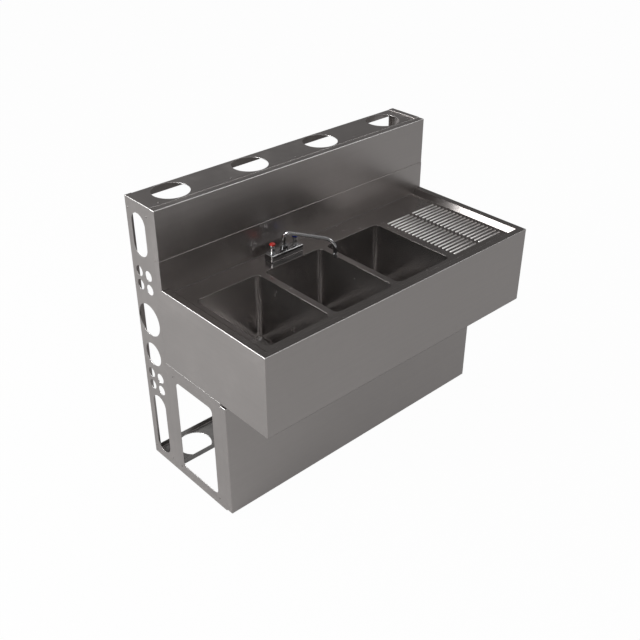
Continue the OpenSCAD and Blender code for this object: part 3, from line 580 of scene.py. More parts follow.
def fillet(path: Sequence[Pair], radii: Sequence[float], steps: int = 5) -> list[Pair]:
    """Rounds the corners of an open path.

    Args:
        path: The path's points.
        radii: Radius at each point, zero for none.
        steps: Number of steps in each rounded corner.

    Returns:
        The rounded path.
    """
    result: list[Pair] = []
    for index, (point, radius) in enumerate(zip(path, radii)):
        if index in (0, len(path) - 1) or radius == 0:
            result.append(point)
            continue
        corner = Vector(point)
        back = (Vector(path[index - 1]) - corner).normalized()
        ahead = (Vector(path[index + 1]) - corner).normalized()
        half = back.angle(ahead) / 2
        centre = corner + (back + ahead).normalized() * (radius / math.sin(half))
        first, last = (corner + side * (radius / math.tan(half)) - centre for side in (back, ahead))
        sweep = math.pi - 2 * half
        for share in (step / steps for step in range(steps + 1)):
            arc = math.sin((1 - share) * sweep) * first + math.sin(share * sweep) * last
            spot = centre + arc / math.sin(sweep)
            result.append((spot.x, spot.y))
    return result


def quarter(steps: int) -> list[Pair]:
    """Steps along a quarter round: the share of its reach that is left and the share of its rise so far."""
    turns = (math.pi / 2 * step / steps for step in range(steps + 1))
    return [(1 - math.sin(turn), 1 - math.cos(turn)) for turn in turns]


def circle(radius: float, z: float, steps: int) -> list[Vector]:
    """Points round an upright axis at the origin, in the unit of the radius."""
    turns = (2 * math.pi * step / steps for step in range(steps))
    return [Vector((radius * math.cos(turn), radius * math.sin(turn), z)) for turn in turns]


def loft(rows: Sequence[Sequence[Vector]], closed: bool = True) -> Shape:
    """Joins rows of equal counts with quads.

    Args:
        rows: The rows in order.
        closed: Whether each row runs all the way round.

    Returns:
        Points and faces.
    """
    count = len(rows[0])
    faces = []
    for start in range(0, count * (len(rows) - 1), count):
        for step in range(count if closed else count - 1):
            a, b = start + step, start + (step + 1) % count
            faces.append((a, b, b + count, a + count))
    return [p for row in rows for p in row], faces


def stitch(
    work: bmesh.types.BMesh, rows: Sequence[Sequence[Vector]], closed: bool = True
) -> list[bmesh.types.BMVert]:
    """Adds rows joined by quads to a mesh that is open for editing.

    Args:
        work: The open mesh.
        rows: The rows in order.
        closed: Whether each row runs all the way round.

    Returns:
        The new points.
    """
    points, faces = loft(rows, closed)
    verts = [work.verts.new(p) for p in points]
    for face in faces:
        work.faces.new([verts[k] for k in face])
    return verts


def lathe(
    name: str, outline: Sequence[Pair], centre: Vector, steps: int = 64, grooves: int = 0, bite: float = 0.0
) -> Piece:
    """Turns an outline about an upright axis, with optional finger grooves.

    Args:
        name: Name of the object.
        outline: Radius and height pairs in millimetres, from the axis round to the axis or closed on itself.
        centre: Point at height zero on the axis, in metres.
        steps: Number of steps round the axis.
        grooves: Number of grooves round it.
        bite: Depth of a groove in millimetres, fading with the outline's height.

    Returns:
        The object.
    """
    low, high = min(z for _, z in outline), max(z for _, z in outline)
    gain, lag, pinch = 2.2, 0.7, 1.6
    rings = []
    for radius, z in outline:
        fade = min(1.0, max(0.0, (high - z) / (high - low) * gain - lag))
        ring = []
        for step in range(steps):
            turn = 2 * math.pi * step / steps
            wave = max(0.0, math.cos(grooves * turn)) ** pinch
            r = max(0.0, radius - bite * wave * fade)
            ring.append(centre + Vector((r * math.cos(turn), r * math.sin(turn), z)) * MM)
        rings.append(ring)
    return soften(from_faces(name, *loft(rings), even=True), 38.0)


def round_ring(x: Pair, d: Pair, radius: float, z: float, corner: int = 6, side: int = 6) -> list[Vector]:
    """Points round a rectangle with round corners, always as many.

    Args:
        x: Left and right sides, in millimetres.
        d: Rear and front sides.
        radius: Corner radius.
        z: Height.
        corner: Steps in a corner.
        side: Steps along a side.

    Returns:
        The points in order.
    """
    radius = max(radius, 0.01)
    left, right, rear, front = x[0] + radius, x[1] - radius, d[0] + radius, d[1] - radius
    arcs = []
    for index, (mx, md) in enumerate(((right, rear), (right, front), (left, front), (left, rear))):
        turns = [math.radians(90.0 * (index - 1 + step / corner)) for step in range(corner + 1)]
        arcs.append([(mx + radius * math.cos(turn), md + radius * math.sin(turn)) for turn in turns])
    ring: list[Pair] = []
    for index, arc in enumerate(arcs):
        first, last = arc[-1], arcs[(index + 1) % 4][0]
        ring += arc
        for share in (step / side for step in range(1, side)):
            ring.append((first[0] + (last[0] - first[0]) * share, first[1] + (last[1] - first[1]) * share))
    return [PLAN.at(px, pd, z) for px, pd in ring]


def open_slots(mesh: Mesh, count: int) -> None:
    """Opens empty material slots, which modifiers need before they can fill more than the first."""
    for _ in range(count):
        mesh.materials.append(None)


def width_beside(loop: bmesh.types.BMLoop) -> float:
    """Width of a face at the middle of one of its edges.

    Args:
        loop: The face's corner at which the edge starts.

    Returns:
        Distance across the face from the edge's middle to the next edge, in metres.
    """
    start, end = loop.vert.co, loop.link_loop_next.vert.co
    along = (end - start).normalized()
    inward = loop.face.normal.cross(along)
    middle = (start + end) / 2
    width = math.inf
    for other in loop.face.loops:
        a, b = other.vert.co - middle, other.link_loop_next.vert.co - middle
        side_a, side_b = a.dot(along), b.dot(along)
        if other is loop or side_a * side_b > 0 or side_a == side_b:
            continue
        reach = a.dot(inward) + (b - a).dot(inward) * side_a / (side_a - side_b)
        if 1e-6 < reach < width:
            width = reach
    return width


def rounded_copy(node: str, fold: float = 2.4, cut: float = 0.45, broad: float = 4.0, segments: int = 3) -> Piece:
    """Copies a CAD node with its folds rounded and its cut edges broken.

    Args:
        node: The CAD node.
        fold: Width of the rounding along folds between broad faces, in millimetres.
        cut: Width of the broken edge along cut edges.
        broad: Width from which a face counts as broad.
        segments: Steps in a rounding.

    Returns:
        The copy, with the faces of its edges on its second material slot.
    """
    name = f"{node}_formed"
    mesh = bpy.data.meshes.new(name)
    sharp, narrowest, flat = math.radians(38.0), 0.42, math.radians(0.7)
    with editing(mesh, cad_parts[node].data) as work:
        bmesh.ops.remove_doubles(work, verts=work.verts, dist=2e-5)
        bmesh.ops.dissolve_limit(
            work, angle_limit=flat, use_dissolve_boundaries=False, verts=work.verts, edges=work.edges
        )
        weight = work.edges.layers.float.new("bevel_weight_edge")
        for edge in work.edges:
            if len(edge.link_faces) != 2 or abs(edge.calc_face_angle(0.0)) < sharp:
                continue
            narrow = min(width_beside(loop) for loop in edge.link_loops) / MM
            edge[weight] = min(fold if narrow > broad else cut, narrowest * narrow) / fold
    open_slots(mesh, 2)
    bevel = {"limit_method": "WEIGHT", "width": fold * MM, "segments": segments, "material": 1}
    return soften(modify(link_mesh(name, mesh), "BEVEL", use_clamp_overlap=False, harden_normals=False, **bevel))


# Geometry node trees


class RepeatTree(NodeGroup):
    """A Geometry Nodes tree with named inputs whose result is kept as a plain object."""

    def __init__(self, name: str, **inputs: Sequence[str]) -> None:
        """Opens a tree.

        Args:
            name: Name of the tree.
            **inputs: Names of the inputs between its geometry and its material, by socket type.
        """
        rows = [(label, kind) for kind, labels in inputs.items() for label in labels]
        geometry = [("Geometry", "Geometry")]
        super().__init__(name, "GeometryNodeTree", geometry + rows + [("Material", "Material")], geometry)

    def shape(self, kind: str, links: dict, output: str = "Geometry", **settings: object) -> Socket:
        """Adds a geometry node and gives one output of it.

        Args:
            kind: Type of the node after its common beginning.
            links: Sockets or plain values of its inputs.
            output: Name of the output.
            **settings: Properties of the node.

        Returns:
            The output's socket.
        """
        return self.node(f"GeometryNode{kind}", links, **settings).outputs[output]

    def seated(self, points: Socket, shape: Socket, **extra: Socket) -> Socket:
        """Seats a shape at every point and gives the instances."""
        return self.shape("InstanceOnPoints", {"Points": points, "Instance": shape, **extra}, "Instances")

    def ring(self, radius: Socket, resolution: object) -> Socket:
        """Adds a circle and gives its curve."""
        links = {"Radius": radius, "Resolution": resolution}
        return self.shape("CurvePrimitiveCircle", links, "Curve", mode="RADIUS")

    def end(self, geometry: Socket) -> "RepeatTree":
        """Ends the tree with real, smooth geometry in the material of its input.

        Args:
            geometry: Socket of the geometry before that.

        Returns:
            The finished tree.
        """
        for kind in ("RealizeInstances", "SetShadeSmooth"):
            geometry = self.shape(kind, {"Geometry": geometry})
        coated = self.shape("SetMaterial", {"Geometry": geometry, "Material": self.inputs["Material"]})
        self.feed(self.target, {"Geometry": coated})
        return self

    def grow(self, name: str, seed: Mesh, **values: object) -> Piece:
        """Runs the tree on a mesh and keeps the result as a plain object.

        Args:
            name: Name of the object.
            seed: The mesh that the tree starts from.
            **values: Values of the inputs, lengths in millimetres, with underscores for spaces in the names.

        Returns:
            The object.
        """
        piece = link_mesh(name, seed)
        modifier = piece.modifiers.new("repeat", "NODES")
        modifier.node_group = self.tree
        sockets = {item.name: item.identifier for item in self.tree.interface.items_tree if item.in_out == "INPUT"}
        for key, value in values.items():
            modifier[sockets[key.replace("_", " ")]] = value * MM if isinstance(value, float) else value
        return settle(piece)


def point_mesh(name: str, places: Sequence[tuple[Vector, Triple]]) -> Mesh:
    """Makes a mesh of loose points that carry a turn each.

    Args:
        name: Name of the mesh.
        places: Position and Euler turn of each point.

    Returns:
        The mesh.
    """
    mesh = bpy.data.meshes.new(name)
    mesh.from_pydata([tuple(place) for place, _ in places], [], [])
    turns = mesh.attributes.new("turn", "FLOAT_VECTOR", "POINT")
    for item, (_, turn) in zip(turns.data, places):
        item.vector = turn
    return mesh


def seating_tree() -> RepeatTree:
    """Builds the tree that seats one shape at every point, turned as the point says.

    Returns:
        The tree.
    """
    tree = RepeatTree("seat_at_points", Object=["Shape"])
    shape = tree.shape("ObjectInfo", {"Object": tree.inputs["Shape"]}, transform_space="ORIGINAL")
    turn = tree.shape("InputNamedAttribute", {"Name": "turn"}, "Attribute", data_type="FLOAT_VECTOR")
    rotation = tree.node("FunctionNodeEulerToRotation", {"Euler": turn}).outputs["Rotation"]
    return tree.end(tree.seated(tree.inputs["Geometry"], shape, Rotation=rotation))


def rib_tree() -> RepeatTree:
    """Builds the tree of pressed ribs in rows and columns, each a half-round bead with round ends.

    Returns:
        The tree.
    """
    sizes = ("Row Pitch", "Column Pitch", "Length", "Radius", "Rise", "Sunk")
    tree = RepeatTree("pressed_ribs", Int=("Rows", "Columns"), Float=sizes)
    value, radius = tree.inputs, tree.inputs["Radius"]
    ball = tree.shape("MeshUVSphere", {"Segments": 32, "Rings": 13, "Radius": radius}, "Mesh")
    turned = tree.shape("Transform", {"Geometry": ball, "Rotation": (0.0, math.pi / 2, 0.0)})
    place = tree.shape("InputPosition", {}, "Position")
    x, y, z = tree.node("ShaderNodeSeparateXYZ", {0: place}).outputs
    low = tree.node("FunctionNodeCompare", {"A": z, "B": -0.00001}, data_type="FLOAT", operation="LESS_THAN")
    dome = tree.shape("DeleteGeometry", {"Geometry": turned, "Selection": low.outputs[0]})
    stretch = tree.math("SUBTRACT", tree.math("MULTIPLY", value["Length"], 0.5), radius)
    along = tree.math("ADD", x, tree.math("MULTIPLY", tree.math("SIGN", x), stretch))
    raised = tree.math("SUBTRACT", z, tree.math("SUBTRACT", radius, value["Rise"]))
    height = tree.math("MAXIMUM", raised, tree.math("MULTIPLY", value["Sunk"], -1.0))
    shaped = tree.node("ShaderNodeCombineXYZ", {0: along, 1: y, 2: height}).outputs[0]
    bead = tree.shape("SetPosition", {"Geometry": dome, "Position": shaped})
    grid = {}
    for axis, count, pitch in (("X", "Columns", "Column Pitch"), ("Y", "Rows", "Row Pitch")):
        grid[f"Size {axis}"] = tree.math("MULTIPLY", value[pitch], tree.math("SUBTRACT", value[count], 1.0))
        grid[f"Vertices {axis}"] = value[count]
    first = {"Geometry": value["Geometry"], "Value": place}
    start = tree.shape("SampleIndex", first, "Value", data_type="FLOAT_VECTOR")
    moved = tree.shape("SetPosition", {"Geometry": tree.shape("MeshGrid", grid, "Mesh"), "Offset": start})
    return tree.end(tree.seated(moved, bead))


def strainer_tree() -> RepeatTree:
    """Builds the tree of a round plate with two rings of perforations, seated at every point.

    Returns:
        The tree.
    """
    sizes = ("Radius", "Thickness", "Hole", "Inner Ring", "Outer Ring")
    tree = RepeatTree("perforated_plate", Float=sizes, Int=("Inner Count", "Outer Count"))
    hole = tree.ring(tree.inputs["Hole"], 14)
    curves = [tree.ring(tree.inputs["Radius"], 64)]
    for side in ("Inner", "Outer"):
        path = tree.ring(tree.inputs[f"{side} Ring"], tree.inputs[f"{side} Count"])
        curves.append(tree.shape("RealizeInstances", {"Geometry": tree.seated(path, hole)}))
    joined, plate = (tree.node("GeometryNodeJoinGeometry") for _ in range(2))
    for curve in curves:
        tree.feed(joined, {"Geometry": curve})
    face = tree.shape("FillCurve", {"Curve": joined.outputs["Geometry"]}, "Mesh", mode="TRIANGLES")
    push = {"Mesh": face, "Offset Scale": tree.inputs["Thickness"], "Individual": False}
    tree.feed(plate, {"Geometry": tree.shape("ExtrudeMesh", push, "Mesh", mode="FACES")})
    tree.feed(plate, {"Geometry": tree.shape("FlipFaces", {"Mesh": face}, "Mesh")})
    return tree.end(tree.seated(tree.inputs["Geometry"], plate.outputs["Geometry"]))


def tube_tree() -> RepeatTree:
    """Builds the tree of a round tube along a path of joined points.

    Returns:
        The tree.
    """
    tree = RepeatTree("tube_along_path", Float=["Radius"])
    path = tree.shape("MeshToCurve", {"Mesh": tree.inputs["Geometry"]}, "Curve")
    section = tree.ring(tree.inputs["Radius"], 56)
    return tree.end(tree.shape("CurveToMesh", {"Curve": path, "Profile Curve": section, "Fill Caps": True}, "Mesh"))


# Sub-assemblies


@dataclass
class SubAssembly:
    """A part of the unit that builds its pieces and dresses them."""

    folds: ClassVar[Sequence[tuple]] = ()
    dressed: ClassVar[Sequence[tuple[str, ...]]] = ()
    palette: Palette
    body: Body = Body.UNIT
    # up-facing share from which a steel edge face keeps its painted highlight
    painted_highlight_from: float = 0.25

    def build(self) -> None:
        """Builds the pieces of the two tables: folded copies, and nodes that only get a material."""
        for node, finish, slot, *sizes in self.folds:
            self.fold(node, finish, slot, *sizes)
        for finish, *nodes in self.dressed:
            self.dress(finish, *nodes)

    def seat(
        self, piece: Piece, slot: Slot, finishes: Sequence[str], *nodes: str, body: Optional[Body] = None
    ) -> None:
        """Coats a finished piece and makes it ride on its body in place of CAD nodes.

        Args:
            piece: The finished piece.
            slot: The record's material slot; not used.
            finishes: Its materials, in order of its slots.
            *nodes: CAD nodes that it stands for.
            body: Body that it rides on, if not the sub-assembly's own.
        """
        slots = piece.data.materials
        open_slots(piece.data, len(finishes) - len(slots))
        for index, name in enumerate(finishes):
            slots[index] = self.palette[name]
        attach(piece, (body or self.body).value)
        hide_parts(*nodes)
        LOG.info("%s: %d faces, for %s", piece.name, len(piece.data.polygons), ", ".join(nodes))

    def fold(self, node: str, finish: str, slot: Slot, *sizes: float) -> None:
        """Replaces a sheet or metal node by a copy with rounded folds, with a painted highlight in a lighter colour
        on its chrome edges and on its steel edges that face up.

        Args:
            node: The CAD node.
            finish: Material of its faces.
            slot: The record's slot.
            *sizes: Sizes of the copy's roundings, where they aren't those of the sheets.
        """
        piece = rounded_copy(node, *sizes)
        family = finish.split("_")[0]
        # painted highlight: steel and chrome edges take the light edge colour of their family
        edge = f"{family}_edge" if family in ("steel", "chrome") else finish
        self.seat(piece, slot, (finish, edge), node)
        # the painted highlight stays only on steel edge faces that face up
        if family == "steel":
            for face in piece.data.polygons:
                if face.normal.z < self.painted_highlight_from:
                    face.material_index = 0

    def dress(self, finish: str, *nodes: str) -> None:
        """Gives CAD nodes that stay shown their material.

        Args:
            finish: Name of the material.
            *nodes: The CAD nodes.
        """
        for node in nodes:
            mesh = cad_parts[node].data
            mesh.materials.clear()
            mesh.materials.append(self.palette[finish])
            LOG.info("%s: dressed in %s", node, finish)


@dataclass
class ServiceChase(SubAssembly):
    """The open box for pipes and cables along the back."""

    folds = (
        ("chase_side_left", "steel_upright", Slot.SHEET),
        ("chase_side_right", "steel_upright", Slot.SHEET),
        ("chase_top_plate", "steel_along", Slot.SHEET),
        ("chase_floor_plate", "steel_mill", Slot.HIDDEN),
        ("chase_front_panel", "steel_mill", Slot.HIDDEN),
        ("riser_panel", "steel_along", Slot.SHEET),
    )


@dataclass
class Apron(SubAssembly):
    """The folded skirt of the sink."""

    folds = (
        ("apron_front", "steel_along", Slot.SHEET),
        ("apron_left", "steel_across", Slot.SHEET),
        ("apron_right", "steel_across", Slot.SHEET),
    )


@dataclass
class Base(SubAssembly):
    """The legs with their windows, the front panel and the brackets under the sink."""

    folds = (
        ("base_side_left", "steel_upright", Slot.SHEET),
        ("base_side_right", "steel_upright", Slot.SHEET),
        ("base_front_panel", "steel_along", Slot.SHEET),
        ("floor_brackets", "steel_mill", Slot.HIDDEN, 0.6, 0.3),
    )


@dataclass
class SinkTop(SubAssembly):
    """The pressed sink top: rim, slopes, deck with rolled bowl edges, bend, backsplash and ribs.

    Its faces are told apart by their normals: below level a share of one counts as none, and above
    tilted the face leans that way. Upright faces within skin of the outline are outer ones, which
    face away from heart, a distance from the rear plane.
    """

    folds = (("deck_channels", "steel_mill", Slot.HIDDEN),)
    level: float = 0.02
    tilted: float = 0.05
    roll: float = 0.7
    foot: float = 52.0
    edge_fold: float = 1.4
    cove: float = 1.0
    lip: float = 12.0
    skin: float = 3.0
    heart: float = 400.0
    rib_rows: int = 19
    rib_columns: int = 2
    rib_length: float = 119.6
    rib_gap: float = 14.6
    rib_left: float = 908.8
    rib_rear: float = 285.0
    rib_pitch: float = 17.667
    rib_radius: float = 4.2
    rib_rise: float = 3.0
    rib_sunk: float = 0.08

    def border(self) -> list[list[Vector]]:
        """Gives the rim and the slopes along the left, front and right sides.

        Returns:
            Their rows of points, from the rim's lower edge to the deck.
        """
        edge, rim, low = PLAN.rim_width, PLAN.rim, PLAN.deck
        corners = [(0, rim - PLAN.sheet), (0, rim), (edge, rim), (edge + PLAN.slope, low), (self.foot, low)]
        rows = []
        for inset, z in fillet(corners, [0, 1.45, 3.5, 5.0, 0]):
            left, right, front = inset, PLAN.width - inset, PLAN.depth - inset
            places = ((left, PLAN.splash), (left, front), (right, front), (right, PLAN.splash))
            rows.append([PLAN.at(x, d, z) for x, d in places])
        return rows

    def bend(self) -> list[list[Vector]]:
        """Gives the bend between the deck and the backsplash, ending on the slopes.

        Returns:
            Its rows of points, from the deck up.
        """
        run = PLAN.slope / (PLAN.rim - PLAN.deck)
        rows = []
        for back, rise in quarter(8):
            z = PLAN.deck + self.cove * rise
            inset = PLAN.rim_width + PLAN.slope - run * (z - PLAN.deck)
            rows.append([PLAN.at(x, PLAN.splash + self.cove * back, z) for x in (inset, PLAN.width - inset)])
        return rows

    def finish_of(self, face: bmesh.types.BMFace) -> int:
        """Gives the material slot of a face of the deck: its outer fold with a painted highlight, its bend with
        painted shade, or the rest.

        Args:
            face: The face.

        Returns:
            The slot's number.
        """
        middle = face.calc_center_median()
        inset = min(PLAN.width / 2 - abs(middle.x) / MM, PLAN.depth / 2 + middle.y / MM)
        # painted highlight: the rim's up-facing outer fold takes the light edge colour
        if inset < self.edge_fold and face.normal.z > self.tilted:
            return 1
        # painted shade: bend faces that face the front take the darker colour
        in_cove = middle.y > PLAN.at(0, PLAN.splash + self.cove, 0).y and face.normal.y < -self.tilted
        return 2 if in_cove and inset > PLAN.rim_width else 0

    def deck(self) -> Piece:
        """Makes the deck with its three rolled openings.

        Returns:
            The sheet, with its thickness.
        """
        mesh = bpy.data.meshes.new("sink_deck_formed")
        open_slots(mesh, 3)
        with editing(mesh) as work:
            stitch(work, self.border(), closed=False)
            rear, front = PLAN.splash + self.cove, PLAN.depth - self.foot
            left, right = self.foot, PLAN.width - self.foot
            corners = ((left, rear), (left, front), (right, front), (right, rear))
            outer = [work.verts.new(PLAN.at(x, d, PLAN.deck)) for x, d in corners]
            flat = [work.edges.new(pair) for pair in zip(outer, outer[1:] + outer[:1])]
            for index in range(3):
                rings = [BOWLS.ring(index, self.roll * out, PLAN.deck - self.roll * drop) for out, drop in quarter(6)]
                top = stitch(work, rings)[: len(rings[0])]
                flat += [work.edges.get(pair) for pair in zip(top, top[1:] + top[:1])]
            bmesh.ops.triangle_fill(work, use_beauty=True, use_dissolve=False, edges=flat, normal=(0, 0, 1))
            bmesh.ops.remove_doubles(work, verts=work.verts, dist=1e-6)
            stitch(work, self.bend(), closed=False)
            for face in work.faces:
                self.face_out(face)
                face.material_index = self.finish_of(face)
        return thicken(link_mesh("sink_deck_formed", mesh), PLAN.sheet)

    def face_out(self, face: bmesh.types.BMFace) -> None:
        """Turns a face of the deck up, or outwards or into its bowl where it stands upright.

        Args:
            face: The face.
        """
        face.normal_update()
        facing = face.normal.z
        if abs(facing) <= self.level:
            middle = face.calc_center_median()
            away = Vector((middle.x, middle.y - (PLAN.depth / 2 - self.heart) * MM, 0))
            reach_x, reach_y = (PLAN.width / 2 - self.skin) * MM, (PLAN.depth / 2 - self.skin) * MM
            if abs(middle.x) <= reach_x and middle.y >= -reach_y:
                from_first = middle.x / MM + PLAN.width / 2 - BOWLS.first - BOWLS.width / 2
                index = min(2, max(0, round(from_first / BOWLS.pitch)))
                away = BOWLS.on_middle(index, BOWLS.length / 2, 0) - middle
            facing = face.normal.x * away.x + face.normal.y * away.y
        if facing < 0:
            face.normal_flip()

    def backsplash(self) -> Piece:
        """Makes the backsplash: its face, its folded top and its lip.

        Returns:
            The sheet, with its thickness.
        """
        foot = PLAN.rim - PLAN.sheet
        corners = [(PLAN.splash, foot), (PLAN.splash, PLAN.seam), (PLAN.chase, PLAN.seam)]
        corners.append((PLAN.chase, PLAN.seam - PLAN.sheet - self.lip))
        path = fillet(corners, [0, 1.4, 1.4, 0])
        points = [PLAN.at(x, d, z) for d, z in path for x in (0.0, PLAN.width)]
        base = len(points)
        inner = (PLAN.sheet, PLAN.width - PLAN.sheet)
        points += [PLAN.at(x, PLAN.splash, z) for z in (PLAN.deck - PLAN.sheet, foot) for x in inner]
        starts = [*range(0, base - 2, 2), base]
        piece = from_faces("backsplash_formed", points, [(k, k + 2, k + 3, k + 1) for k in starts])
        front, rear = (PLAN.at(0, d, 0).y for d in (PLAN.splash - 1, PLAN.chase + 1))
        with editing(piece.data) as work:
            for face in work.faces:
                y = face.calc_center_median().y
                if face.normal.y > self.level and y < front:
                    face.normal_flip()
                if face.normal.z < -self.level:
                    face.normal_flip()
                if face.normal.y < -self.level and y > rear:
                    face.normal_flip()
        return thicken(piece, PLAN.sheet)

    def ribs(self) -> Piece:
        """Makes the pressed ribs of the drainboard.

        Returns:
            The ribs, as one piece.
        """
        columns_pitch = self.rib_length + self.rib_gap
        middle = PLAN.at(
            self.rib_left + self.rib_length / 2 + columns_pitch * (self.rib_columns - 1) / 2,
            self.rib_rear + self.rib_pitch * (self.rib_rows - 1) / 2,
            PLAN.deck,
        )
        # the ribs' light colour is a painted highlight
        return rib_tree().grow(
            "drainboard_ribs",
            point_mesh("drainboard_ribs", [(middle, (0, 0, 0))]),
            Rows=self.rib_rows,
            Columns=self.rib_columns,
            Row_Pitch=self.rib_pitch,
            Column_Pitch=columns_pitch,
            Length=self.rib_length,
            Radius=self.rib_radius,
            Rise=self.rib_rise,
            Sunk=self.rib_sunk,
            Material=self.palette["steel_rib"],
        )

    def build(self) -> None:
        """Builds the sink top's pieces."""
        # the deck's first colour is painted shade, its edge colour a painted highlight, its bend colour painted shade
        self.seat(self.deck(), Slot.DECK, ("steel_deck", "steel_edge", "steel_cove"), "sink_deck")
        self.seat(self.backsplash(), Slot.SHEET, ["steel_along"], "sink_deck")
        self.seat(self.ribs(), Slot.DECK, ["steel_rib"], "sink_deck")
        super().build()


@dataclass
class Bowls(SubAssembly):
    """The three deep bowls with round corners and gently falling floors."""

    wall: float = 1.2
    neck: float = 12.0
    drain_hole: float = 24.0
    fall: float = 1.6

    def bowl(self, index: int, name: str) -> Piece:
        """Makes one bowl.

        Args:
            index: Number of the bowl from the left.
            name: Name of the piece.

        Returns:
            The bowl, with its thickness.
        """
        floor, top = PLAN.deck - BOWLS.depth, PLAN.deck - SinkTop.roll
        rings = [BOWLS.ring(index, 0.0, z) for z in (top, top - self.neck)]
        for height, inset in quarter(8):
            z = floor + self.fall + (BOWLS.corner - self.fall) * height
            rings.append(BOWLS.ring(index, -BOWLS.corner * inset, z))
        middle = BOWLS.on_middle(index, BOWLS.drain_back, floor)
        outer = rings[-1]
        for share in (0.25, 0.5, 0.75, 0.92, 1.0):
            ring = []
            for point in outer:
                away = Vector((point.x - middle.x, point.y - middle.y, 0)).normalized()
                spot = point.lerp(middle + away * self.drain_hole * MM, share)
                spot.z = (floor + self.fall * (1 - share) ** 1.3) * MM
                ring.append(spot)
            rings.append(ring)
        return thicken(from_faces(name, *loft(rings), even=True, up=True), self.wall)

    def build(self) -> None:
        """Builds the three bowls."""
        for index, hand in enumerate(("left", "middle", "right")):
            self.seat(self.bowl(index, f"bowl_{hand}_drawn"), Slot.BOWL, ["steel_bowl"], f"bowl_{hand}")


@dataclass
class Fasteners(SubAssembly):
    """The screws that hold the sheets together, each with a cross recess."""

    head: float = 3.6
    dome: float = 1.5
    shank: float = 2.0
    length: float = 8.0
    recess: float = 0.8
    cross_half: float = 0.42
    cross_reach: float = 1.9
    rows: int = 9
    steps: int = 32

    def prototype(self) -> Piece:
        """Makes one screw that points down, with its head's seat at height zero.

        Returns:
            The screw.
        """
        rings = []
        for share in (row / self.rows for row in range(self.rows + 1)):
            ring = circle(self.head * share, self.dome * (1 - share**2.2), self.steps)
            for point in ring:
                near, far = sorted((abs(point.x), abs(point.y)))
                if near < self.cross_half and far < self.cross_reach:
                    point.z -= self.recess
            rings.append(ring)
        tail = ((self.head, 0.0), (self.shank, 0.0), (self.shank, -self.length), (0.0, -self.length))
        rings += [circle(radius, z, self.steps) for radius, z in tail]
        points, faces = loft(rings)
        return from_faces("screw_pattern", [point * MM for point in points], faces, even=True)

    def places(self) -> dict[str, list[tuple[Vector, Triple]]]:
        """Places the screws.

        Returns:
            The seat and the Euler turn of every screw, by group.
        """
        quarter = math.pi / 2
        up, rear = (0.0, 0.0, 0.0), (-quarter, 0.0, 0.0)
        ends = ((0.0, (0.0, -quarter, 0.0)), (PLAN.width, (0.0, quarter, 0.0)))
        chase_spots = [(d, z) for d in (12.0, 116.0) for z in (35.0, 1000.5)]
        base_spots = [(172.0, 426.0), (172.0, 32.0), (398.0, 32.0)]
        pitch = (PLAN.width - 97.0) / 4
        sheet_back = PLAN.chase - PLAN.sheet
        return {
            "chase": [(PLAN.at(x, d, z), turn) for x, turn in ends for d, z in chase_spots],
            "base": [(PLAN.at(x, d, z), turn) for x, turn in ends for d, z in base_spots],
            "top": [(PLAN.at(48.5 + k * pitch, 118.0, 1035.5), up) for k in range(5)],
            "splash": [
                (PLAN.at((k + 0.5) * PLAN.width / 4, sheet_back, z), rear) for k in range(4) for z in (853.5, 1026.5)
            ],
            "panel": [(PLAN.at(x, 438.5, z), rear) for x in (14.0, PLAN.width - 14.0) for z in (118.0, 342.0)],
        }

    def build(self) -> None:
        """Seats the screws of every group."""
        finish = "steel_screw"
        pattern, tree = self.prototype(), seating_tree()
        for group, places in self.places().items():
            name = f"{group}_screw_set"
            piece = tree.grow(name, point_mesh(name, places), Shape=pattern, Material=self.palette[finish])
            self.seat(piece, Slot.SCREW, [finish], f"{group}_screws")
        bpy.data.objects.remove(pattern)


@dataclass
class Drains(SubAssembly):
    """The three drains: flange, strainer, nuts and tailpieces."""

    folds = (
        ("drain_bodies", "steel_drain", Slot.DRAIN, 0.9, 0.3, 1.5),
        ("drain_locknuts", "plated", Slot.PLATED, 0.9, 0.5),
        ("drain_coupling_nuts", "plated", Slot.PLATED, 0.9, 0.5),
    )
    dressed = (("rubber", "drain_gaskets"), ("plated", "drain_tailpieces"), ("steel_screw", "strainer_screws"))
    radius: float = 21.5
    thickness: float = 1.5
    hole: float = 2.0
    level: float = 482.0

    def build(self) -> None:
        """Builds the drains."""
        super().build()
        name, finish = "strainer_perforated", "steel_drain"
        places = [(BOWLS.on_middle(k, BOWLS.drain_back, self.level), (0, 0, 0)) for k in range(3)]
        plates = strainer_tree().grow(
            name,
            point_mesh(name, places),
            Radius=self.radius,
            Thickness=self.thickness,
            Hole=self.hole,
            Inner_Ring=0.45 * self.radius,
            Outer_Ring=0.78 * self.radius,
            Inner_Count=6,
            Outer_Count=12,
            Material=self.palette[finish],
        )
        self.seat(soften(plates, 30.0), Slot.DRAIN, [finish], "strainer_plates")


@dataclass
class FaucetBody(SubAssembly):
    """The block of the faucet with its gasket, shanks and nuts."""

    folds = (
        ("faucet_body", "chrome", Slot.CHROME, 2.0, 0.6, 3.0, 4),
        ("spout_nut", "chrome", Slot.CHROME, 0.5, 0.3, 1.5),
        ("supply_shanks", "plated", Slot.PLATED, 0.6, 0.4),
        ("shank_nuts", "plated", Slot.PLATED, 0.8, 0.5),
    )
    dressed = (("rubber", "faucet_gasket"), ("nylon", "shank_washers"))


